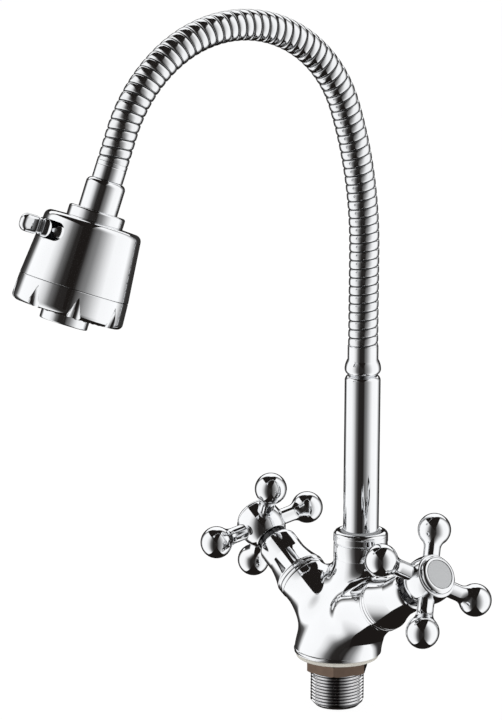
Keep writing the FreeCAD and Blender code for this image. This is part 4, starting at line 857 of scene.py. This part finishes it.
class TAP_OT_deck(bpy.types.Operator):
    """Model the threaded shank, the gasket, the slip washer and the hexagon nut"""

    bl_idname = "tap.deck"
    bl_label = "Shank and nut"

    def execute(self, context):
        self.shank()
        gasket = [(17.2, 0), (25.0, 0), (25.55, 0.6), (25.55, 2.5), (17.2, 2.5)]
        pale = moulded("pale_gasket", finish_of().pale, 0.45, 0.2)
        turned("base_gasket_ring", gasket, on_shank(), "mixer_body", ["base_gasket"], 128, 0.25,
               pale)
        washer = [(17.2, 0), (21.0, 0), (21.0, WASHER_HEIGHT), (17.2, WASHER_HEIGHT)]
        turned("slip_washer_ring", washer, on_shank(-WASHER_HEIGHT), "mixer_body", ["slip_washer"], 128, 0.15,
               bare_brass())
        self.nut()
        return {"FINISHED"}

    def shank(self):
        """A wound thread: one pitch of its outline, screwed round and round, then trimmed to length."""
        pitch, crest, deep, long = lengths("thread_pitch", "shank_radius", "thread_depth", "shank_length")
        root = crest - deep
        outline = [(root, 0.0), (root, 0.1), (crest, 0.44), (crest, 0.6), (root, 0.94), (root, 1.0)]
        shape = wound(outline, pitch, int(long / pitch) + 4, 64)
        trimmed(moved(shape, on_shank(-long - pitch * 1.5)), -long, 2.4)
        for vert in shape.verts:
            rise = vert.co.z / MM + long
            limit = (crest - SHANK_CHAMFER + rise) * MM
            reach = math.hypot(vert.co.x, vert.co.y)
            if reach > limit:
                vert.co.x *= limit / reach
                vert.co.y *= limit / reach
        core = [(13.0, 0.05), (crest - SHANK_CHAMFER - 0.1, 0.05), (root - 0.05, 2.1), (root - 0.05, long + 2.5),
                (14.9, long + 2.5), (14.9, long + 12.0), (13.0, long + 12.0)]
        core = moved(spun(core), on_shank(-long))
        piece("shank_thread", joined([shape, core]), "mixer_body", plated_thread(),
              ["mounting_shank"])

    def nut(self):
        """A hexagon whose corners are turned off, with a hole over the thread."""
        corner, hole, tall = NUT_CORNER, NUT_HOLE, NUT_HEIGHT
        blank = spun([(hole, 0), (corner - 1.4, 0)] + arc((corner - 1.4, 0), (corner, 0.8), 2.4, 1, 4)
                     + [(corner, tall - 0.8)] + arc((corner, tall - 0.8), (corner - 1.4, tall), 2.4, 1, 4)
                     + [(hole, tall)], 144)
        flat = corner * math.cos(math.radians(30)) * MM
        for number in range(6):
            turn = math.radians(60 * number + 30)
            way = Vector((math.cos(turn), math.sin(turn), 0))
            bmesh.ops.edgeloop_fill(blank, edges=cut_across(blank, way * flat, way))
        bmesh.ops.recalc_face_normals(blank, faces=blank.faces)
        soften(blank, 0.3, 3, 25.0)
        moved(blank, on_shank(-WASHER_HEIGHT - tall) @ Matrix.Rotation(math.radians(NUT_TURN), 4, "Z"))
        piece("lock_nut_hexagon", blank, "mixer_body", bare_brass(), ["lock_nut"])


class TAP_OT_spout(bpy.types.Operator):
    """Model the spout nut, the bush, the tube and the collar"""

    bl_idname = "tap.spout"
    bl_label = "Spout"

    def execute(self, context):
        top, tube, tall = lengths("column_top", "tube_radius", "tube_top")
        nut = [(12.4, 0), (16.4, 0), (16.4, 0.5), (16.9, 1.0), (16.9, 4.4), (16.7, 4.7), (16.9, 5.0)]
        nut += arc((16.9, 5.0), (14.3, 7.5), 2.7, 1, 8) + [(13.2, 7.5), (12.4, 7.1)]
        turned("spout_nut_collar", nut, on_column(top), "mixer_body", ["spout_nut"], width=0.15)
        bush = [(tube + 0.05, 0), (12.3, 0), (12.3, 7.4), (11.9, 8.0), (tube + 0.05, 8.0)]
        grey = moulded("grey_bush", finish_of().bush, 0.4, 0.15)
        turned("spout_bush_ring", bush, on_column(top), "mixer_body", ["spout_bush"], 128, 0.15,
               grey)
        pipe = [(tube - 1.0, 60.6), (tube, 60.6), (tube, tall - 2.9)]
        pipe += arc((tube, tall - 2.9), (9.2, tall), 3.4, 1, 8)
        pipe += [(8.35, tall), (8.35, tall - 1.5), (tube - 1.0, tall - 4.0)]
        turned("spout_tube_pipe", pipe, on_column(), "spout", ["spout_tube"], 160, 0.15)
        collar = [(5.45, -12.0), (8.25, -12.0), (8.25, 0), (8.4, 0), (8.4, 0.5)]
        collar += arc((8.4, 0.5), (11.15, 3.8), 3.9, 1, 10) + arc((11.15, 3.8), (9.4, 10.1), 11.5, 1, 10)
        collar += [(9.4, 18.5), (5.45, 18.5)]
        turned("hose_collar_sleeve", collar, on_column(tall), "spout", ["hose_collar"], 160, 0.15)
        return {"FINISHED"}


class TAP_OT_hose(bpy.types.Operator):
    """Wind the ribbed hose and bend it along its line"""

    bl_idname = "tap.hose"
    bl_label = "Ribbed hose"

    def execute(self, context):
        pitch, crest, groove = lengths("hose_pitch", "hose_radius", "hose_groove")
        root = crest - groove
        long = hose_length()
        outline = [
            (root, 0.0), (root, 0.05), (crest - 0.3, 0.1), (crest - 0.08, 0.2), (crest, 0.42), (crest - 0.02, 0.66),
            (crest - 0.14, 0.84), (crest - 0.42, 0.93), (root, 0.97), (root, 1.0),
        ]
        shape = wound(outline, pitch, int(long / pitch) + 4)
        trimmed(moved(shape, on_shank(-pitch * 1.5)), 0.0, long)
        self.bend("wound_hose", shape, "hose_chrome", hose_chrome(), ["ribbed_hose"])
        # A near-black sleeve just under the hose's groove roots: painted shade in the grooves, not a part of the
        # hose.
        shade = moulded("hose_groove_painted_shade", (0.012, 0.012, 0.013), 0.5, 0.1)
        self.bend("hose_groove_shade_sleeve", self.sleeve(root - 0.3, root + 0.3, 0.5, long - 0.5), "black_rubber", shade, [])
        pale = moulded("liner_plastic", (0.7, 0.7, 0.68), 0.4, 0.1)
        liner = self.sleeve(4.0, 5.4, -LINER_GRIP, long + LINER_GRIP)
        self.bend("inner_hose", liner, "liner_plastic", pale, ["hose_liner"])
        return {"FINISHED"}

    def sleeve(self, inner, outer, start, end, steps=160):
        """A straight pipe in many short lengths, so that it can bend."""
        wall = [(outer, start + (end - start) * step / steps) for step in range(steps + 1)]
        return spun(wall + [(inner, height) for _, height in reversed(wall)], 48)

    def bend(self, name, shape, slot, material, nodes):
        """Lay a straight shape along the hose's line, from the spout to the outlet, as a piece without a body."""
        for vert in shape.verts:
            distance = min(max(vert.co.z / MM, 0.0), hose_length())
            here = along_hose(distance)
            vert.co = here @ Vector((vert.co.x, vert.co.y, vert.co.z - distance * MM))
        near, far = [tuple(spout_plane() @ Vector((reach * MM, 0, BEND_HEIGHT))) for reach in BEND_REACHES]
        piece(name, shape, "spout", material, nodes, level=False, bends=("hose_outlet", near, far))


class TAP_OT_bonnets(bpy.types.Operator):
    """Model the two flared bonnets and the fluted rings"""

    bl_idname = "tap.bonnets"
    bl_label = "Bonnets"

    def execute(self, context):
        for side in SIDES:
            bonnet = [(13.2, 0.15), (16.0, 0.15), (16.4, 0.5), (16.4, 2.2), (16.15, 2.5), (16.4, 2.8), (16.4, 3.3)]
            bonnet += arc((16.4, 3.3), (12.7, 17.5), 60.0, -1, 14) + [(12.75, 23.0), (12.7, 28.1)]
            bonnet += arc((12.7, 28.1), (11.3, 31.5), 5.0, 1, 8) + [(8.65, 31.5), (8.65, 6.0), (13.2, 6.0)]
            turned(side + "_bonnet_bell", bonnet, on_arm(side, BONNET_START), "mixer_body", [side + "_bonnet"], 144)
            self.ring(side)
        return {"FINISHED"}

    def ring(self, side):
        """A dark core with glossy black teeth standing round it."""
        core = [(6.85, 0), (9.0, 0), (9.0, 3.7), (6.85, 3.7)]
        dark = moulded("dark_gland", finish_of().dark, 0.25, 0.1)
        turned(side + "_gland_core", core, on_arm(side, GLAND_START), "mixer_body", [side + "_gland_ring"],
               96, 0.08, dark)
        teeth = []
        for number in range(GLAND_TEETH):
            tooth = soften(moved(brick(1.5, 3.1, 3.7), shift(9.5, 0, 1.85)), 0.35, 3)
            teeth.append(moved(tooth, on_arm(side, GLAND_START, math.tau * (number + 0.5) / GLAND_TEETH)))
        piece(side + "_gland_teeth", joined(teeth), "mixer_body",
              moulded("gloss_gland", (0.02, 0.02, 0.022), 0.08, 0.02))


class TAP_OT_handles(bpy.types.Operator):
    """Model the two cross handles with their caps and index discs"""

    bl_idname = "tap.handles"
    bl_label = "Cross handles"

    def execute(self, context):
        for side, turn in HANDLE_TURNS:
            body = side + "_cross_handle"
            turn = math.radians(turn)
            shapes = [moved(self.hub(), on_arm(side, HUB_START))]
            aside = Matrix.Rotation(math.pi / 2, 4, "Y")
            for number in range(4):
                spoke = on_arm(side, SPOKE_CENTRE, turn + math.pi / 2 * number) @ aside
                shapes.append(moved(self.spoke(), spoke))
            piece(side + "_cross", joined(shapes), body, chrome(), [side + "_handle"])
            cap = [(6.5, 4.0), (6.5, 0), (7.95, 0), (7.95, 4.0), (11.2, 4.0), (11.2, 4.35), (11.9, 4.5)]
            cap += [(11.9, 5.1)] + arc((11.9, 5.1), (9.7, 7.0), 2.6, 1, 8)
            cap += [(9.1, 6.9), (9.0, 6.3), (9.0, 5.8), (0, 5.8), (0, 4.0)]
            turned(side + "_cap_bezel", cap, on_arm(side, CAP_START), body, [side + "_cap"])
            disc = spun([(0, 0), (8.8, 0), (8.8, 0.85), (8.5, 1.05), (0, 1.25)], 96)
            piece(side + "_index_disc", moved(disc, on_arm(side, DISC_START)), body,
                  index_silver(), [side + "_index"])
        return {"FINISHED"}

    def hub(self):
        outline = [(4.25, 0), (10.1, 0)] + arc((10.1, 0), (10.5, 0.4), 0.4, 1, 3)
        outline += arc((10.5, 0.4), (14.6, 11.5), 17.8, 1, 16) + arc((14.6, 11.5), (13.6, 19.3), 32.0, 1, 8)
        outline += arc((13.6, 19.3), (12.6, 20.3), 1.05, 1, 5)
        outline += [(8.0, 20.3), (8.0, 12.3), (2.55, 12.3), (2.55, 9.5), (4.25, 9.5)]
        return soften(spun(outline, 128), 0.12)

    def spoke(self):
        ball, reach = lengths("ball_radius", "ball_reach")
        outline = [(0, 9.6), (5.1, 9.6), (5.1, reach - ball * 1.25)]
        outline += arc((5.1, reach - ball * 1.25), (ball * 0.766, reach - ball * 0.643), 8.6, -1, 8)
        outline += arc((ball * 0.766, reach - ball * 0.643), (0, reach + ball), ball, 1, 28)
        outline[-1] = (0, reach + ball)
        return spun(outline, 64)


def slab(half_height, half_straight, low, high):
    """A capsule-shaped slab: X along the shell, Y down it and Z from one radius to another, cut into strips."""
    shape = cone(half_height, half_height, low, high, 48)
    strips(shape, [0.0])
    for side in (-1, 1):
        half = [v for v in shape.verts if v.co.x * side > 1e-7]
        bmesh.ops.translate(shape, verts=half, vec=(side * half_straight * MM, 0, 0))
    reach = half_height + half_straight
    strips(shape, [reach * (number / 10 - 1) for number in range(1, 20)])
    return shape


def strips(shape, cuts):
    """Cut a bmesh into strips at some values of X, in millimetres."""
    for cut in cuts:
        cut_across(shape, (cut * MM, 0, 0), (1, 0, 0), clear=False)


def wrapped(shape, distance, middle, radius):
    """Bend a slab round the head's axis, its middle at an angle and its X measured at a radius."""
    here = on_head(distance)
    for vert in shape.verts:
        turn = middle + vert.co.x / (radius * MM)
        vert.co = here @ Vector((vert.co.z * math.cos(turn), vert.co.z * math.sin(turn), vert.co.y))
    bmesh.ops.recalc_face_normals(shape, faces=shape.faces)
    return shape


class TAP_OT_head(bpy.types.Operator):
    """Model the spray head: swivel, shell, notched ring, spray plate and nozzle"""

    bl_idname = "tap.head"
    bl_label = "Spray head"

    def execute(self, context):
        swivel, flange, top = lengths("swivel_start", "flange_start", "shell_start")
        tip = [(5.45, 0), (9.0, 0), (9.2, 0.2), (9.2, 2.2), (9.0, 2.5), (9.2, 2.8), (9.2, swivel - 0.3),
               (9.0, swivel - 0.05), (6.6, swivel - 0.05), (6.6, swivel + 3.85), (9.6, swivel + 3.85),
               (9.6, swivel + 5.85), (3.9, swivel + 5.85), (3.9, 8.1), (5.45, 8.1)]
        turned("hose_tip_sleeve", tip, on_head(), "hose_outlet", ["hose_tip"])
        long = flange - swivel
        nut = [(6.65, 0), (8.6, 0)] + arc((8.6, 0), (11.65, 3.2), 3.3, 1, 10)
        nut += [(11.65, long), (10.2, long), (10.2, 3.8), (6.65, 3.8)]
        turned("swivel_nut_sleeve", nut, on_head(swivel), "spray_head", ["swivel_nut"])
        tall = top - flange
        inlet = [(5.5, -12.4), (10.1, -12.4), (10.1, 0), (15.5, 0)] + arc((15.5, 0), (16.8, 1.35), 1.4, 1, 5)
        inlet += [(16.8, tall), (12.0, tall), (12.0, tall + 3.3), (5.5, tall + 3.3)]
        turned("head_inlet_flange", inlet, on_head(flange), "spray_head", ["head_inlet"])
        self.shell(top)
        self.lower_ring()
        self.face()
        return {"FINISHED"}

    def shell(self, top):
        wide, shoulder = lengths("head_radius", "shoulder_radius")
        long = (size().parting - size().shell_start) / MM
        outline = [(12.1, 2.6), (12.1, 0), (16.9, 0.02), (shoulder - 3.8, 0.4)]
        outline += arc((shoulder - 3.8, 0.4), (shoulder, 4.2), 3.9, 1, 10)
        outline += [(shoulder + (wide - shoulder) * step / 4, 4.2 + (long - 4.2) * step / 4) for step in (1, 2, 3)]
        outline += [(wide, long - 0.2), (wide - 0.2, long), (wide - 2.6, long), (shoulder - 2.6, 6.8), (23.8, 4.56)]
        shell = as_object("head_shell_cone", moved(soften(spun(outline, 192), 0.1), on_head(top)))
        straight = math.radians(SLOT_HALF_ANGLE) * shoulder - SLOT_HALF_HEIGHT
        tool = wrapped(slab(SLOT_HALF_HEIGHT, straight, 20.0, 38.0), top + SLOT_CENTRE, 0.0, shoulder)
        carve(shell, tool, 0.25, 50)
        piece("head_shell_cone", shell, "spray_head", chrome(), ["head_shell"])

    def lower_ring(self):
        wide, parting = lengths("head_radius", "parting")
        tall = (size().rim - size().parting) / MM
        flare = wide + 0.7
        outline = [(27.4, -4.0), (29.4, -4.0), (29.4, 0.12), (wide - 0.25, 0.12), (wide, 0.4), (flare, tall - 3.4)]
        outline += arc((flare, tall - 3.4), (flare - 3.4, tall), 3.4, 1, 10) + [(27.4, tall)]
        ring = as_object("notched_ring", moved(soften(spun(outline, 192), 0.1), on_head(parting)))
        wedges = []
        lean = shift(wide) @ Matrix.Rotation(math.atan2(1.0, NOTCH_HEIGHT), 4, "Y")
        for number in range(NOTCHES):
            at = on_head(parting + tall - NOTCH_HEIGHT, math.tau * (number + 0.5) / NOTCHES)
            wedges.append(moved(cone(0.0, NOTCH_RADIUS, 0.0, NOTCH_DEPTH, 24), at @ lean))
        carve(ring, joined(wedges), 0.22, 35)
        piece("notched_ring", ring, "spray_head", chrome(), ["lower_ring"])

    def face(self):
        """The recessed plate with its rubber jets, and the nozzle in the middle."""
        rim, mouth = lengths("rim", "nozzle_end")
        plate = [(14.5, 0), (27.35, 0), (27.35, 2.7), (26.9, 3.0), (15.0, 3.0), (14.5, 2.7)]
        grey = moulded("spray_face_grey", (0.5, 0.5, 0.51), 0.35, 0.15)
        turned("spray_face", plate, on_head(rim - 4.0), "spray_head", ["spray_plate"], 128, 0.12,
               grey)
        jets = [moved(band(14.5, 27.3, 0, 1.4), on_head(rim - 5.5))]
        for reach, count, start in ((22.4, 24, 0.0), (18.6, 19, 0.5)):
            for number in range(count):
                turn = math.tau * (number + start) / count
                jet = spun([(0.35, 4.9), (0.75, 4.9), (0.9, 4.7), (0.9, 0.2), (0.35, 0.2)], 16)
                jets.append(moved(jet, on_head(rim - 4.3, turn) @ shift(reach)))
        rubber = moulded("jet_rubber", finish_of().rubber, 0.5, 0.1)
        piece("spray_jets", joined(jets), "spray_head", rubber, ["jet_mat"])
        housing = [(12.75, 0), (14.35, 0), (14.35, 13.4), (14.2, 13.6), (14.35, 13.8), (14.35, 19.2)]
        housing += arc((14.35, 19.2), (13.55, 20.0), 0.8, 1, 5) + [(11.5, 20.0), (11.5, 18.8), (12.75, 18.8)]
        turned("nozzle_sleeve", housing, on_head(mouth - 20.0), "spray_head", ["aerator_housing"], width=0.1)
        piece("nozzle_screen", moved(band(0, 12.7, 0, 1.6), on_head(mouth - 2.8)), "spray_head",
              woven_steel("woven_screen", on_head(mouth - 1.2)), ["aerator_screen"])


class TAP_OT_selector(bpy.types.Operator):
    """Model the selector: its plate in the slot and its finger tab"""

    bl_idname = "tap.selector"
    bl_label = "Selector"

    def execute(self, context):
        shoulder = size().shoulder_radius / MM
        centre = size().shell_start / MM + SLOT_CENTRE
        straight = math.radians(LEVER_SPAN / 2) * shoulder - LEVER_HALF_HEIGHT
        rest = math.radians(SLOT_HALF_ANGLE - LEVER_SPAN / 2) - 0.35 / shoulder
        plate = soften(slab(LEVER_HALF_HEIGHT, straight, 23.9, 30.3), 0.9, 4, 60.0)
        wrapped(plate, centre, rest, shoulder)
        ring = moved(soften(band(22.3, 25.3, 0, 6.8, 128), 0.2), on_head(centre - 3.4))
        shapes = [plate, self.tab(centre, rest + math.radians(6.0)), ring]
        piece("selector_slider", joined(shapes), "selector", chrome(), ["selector_lever"])
        return {"FINISHED"}

    def tab(self, centre, turn):
        """A finger bar with round ends and edges and a narrow neck where it leaves the plate."""
        bar = brick(*TAB_SIZE)
        corners = [e for e in bar.edges if abs(e.verts[0].co.y - e.verts[1].co.y) > MM]
        bevel(bar, corners, 4.3, 10)
        soften(bar, 2.5, 6, 50.0)
        moved(bar, shift(TAB_CENTRE))
        strips(bar, [29.4, 30.0, 30.5, 31.0, 31.5, 32.0, 32.5, 33.0, 33.6])
        for vert in bar.verts:
            deep = math.exp(-(vert.co.x / MM - TAB_NECK) ** 2)
            vert.co.y *= 1.0 - 0.34 * deep
            vert.co.z *= 1.0 - 0.24 * deep
        lean = shift(TAB_CENTRE) @ Matrix.Rotation(math.radians(TAB_LEAN), 4, "Z") @ shift(-TAB_CENTRE)
        return moved(bar, on_head(centre, turn) @ shift(y=-TAB_ASIDE) @ lean)


class TAP_OT_inner_finishes(bpy.types.Operator):
    """Give the inner CAD parts, which stay as they are, their finishes"""

    bl_idname = "tap.inner_finishes"
    bl_label = "Inner finishes"

    def execute(self, context):
        look = finish_of()
        seal = moulded("seal_rubber", look.rubber, 0.5, 0.1)
        core = moulded("core_plastic", look.dark, 0.4, 0.15)
        disc = moulded("lapped_ceramic", look.ceramic, 0.15, 0.02)
        finishes = {
            "spout_foot": bare_brass(), "spout_seals": seal, "hose_washer": seal, "diverter_core": core,
            "manifold": core,
        }
        in_arm = {
            "seat_seal": seal, "fixed_disc": disc, "moving_disc": disc, "valve": bare_brass(),
            "spindle": bare_brass(), "screw": plated_thread(),
        }
        for side in SIDES:
            finishes.update({side + "_" + part: material for part, material in in_arm.items()})
        for name, material in finishes.items():
            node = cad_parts[name]
            node.data.materials.clear()
            node.data.materials.append(material)
        return {"FINISHED"}


class TAP_PT_panel(bpy.types.Panel):
    """The tap's sizes, finishes and steps"""

    bl_idname = "TAP_PT_panel"
    bl_label = "Kitchen mixer tap"
    bl_space_type = "VIEW_3D"
    bl_region_type = "UI"
    bl_category = "Tap"

    def draw(self, context):
        for group in (context.scene.tap_sizes, context.scene.tap_finishes):
            box = self.layout.box()
            for name in group.bl_rna.properties.keys():
                if name not in ("rna_type", "name"):
                    box.prop(group, name)
        for step in STEPS:
            self.layout.operator(step.bl_idname)


STEPS = (
    TAP_OT_stage, TAP_OT_casting, TAP_OT_deck, TAP_OT_spout, TAP_OT_hose, TAP_OT_bonnets, TAP_OT_handles,
    TAP_OT_head, TAP_OT_selector, TAP_OT_inner_finishes,
)
CLASSES = (TapFinishes, TapSizes) + STEPS + (TAP_PT_panel,)


def register():
    for group in CLASSES:
        bpy.utils.register_class(group)
    bpy.types.Scene.tap_finishes = bpy.props.PointerProperty(type=TapFinishes)
    bpy.types.Scene.tap_sizes = bpy.props.PointerProperty(type=TapSizes)


def unregister():
    del bpy.types.Scene.tap_sizes
    del bpy.types.Scene.tap_finishes
    for group in reversed(CLASSES):
        bpy.utils.unregister_class(group)


def main():
    register()
    for step in STEPS:
        family, name = step.bl_idname.split(".")
        getattr(getattr(bpy.ops, family), name)()


if __name__ == "__main__":
    main()
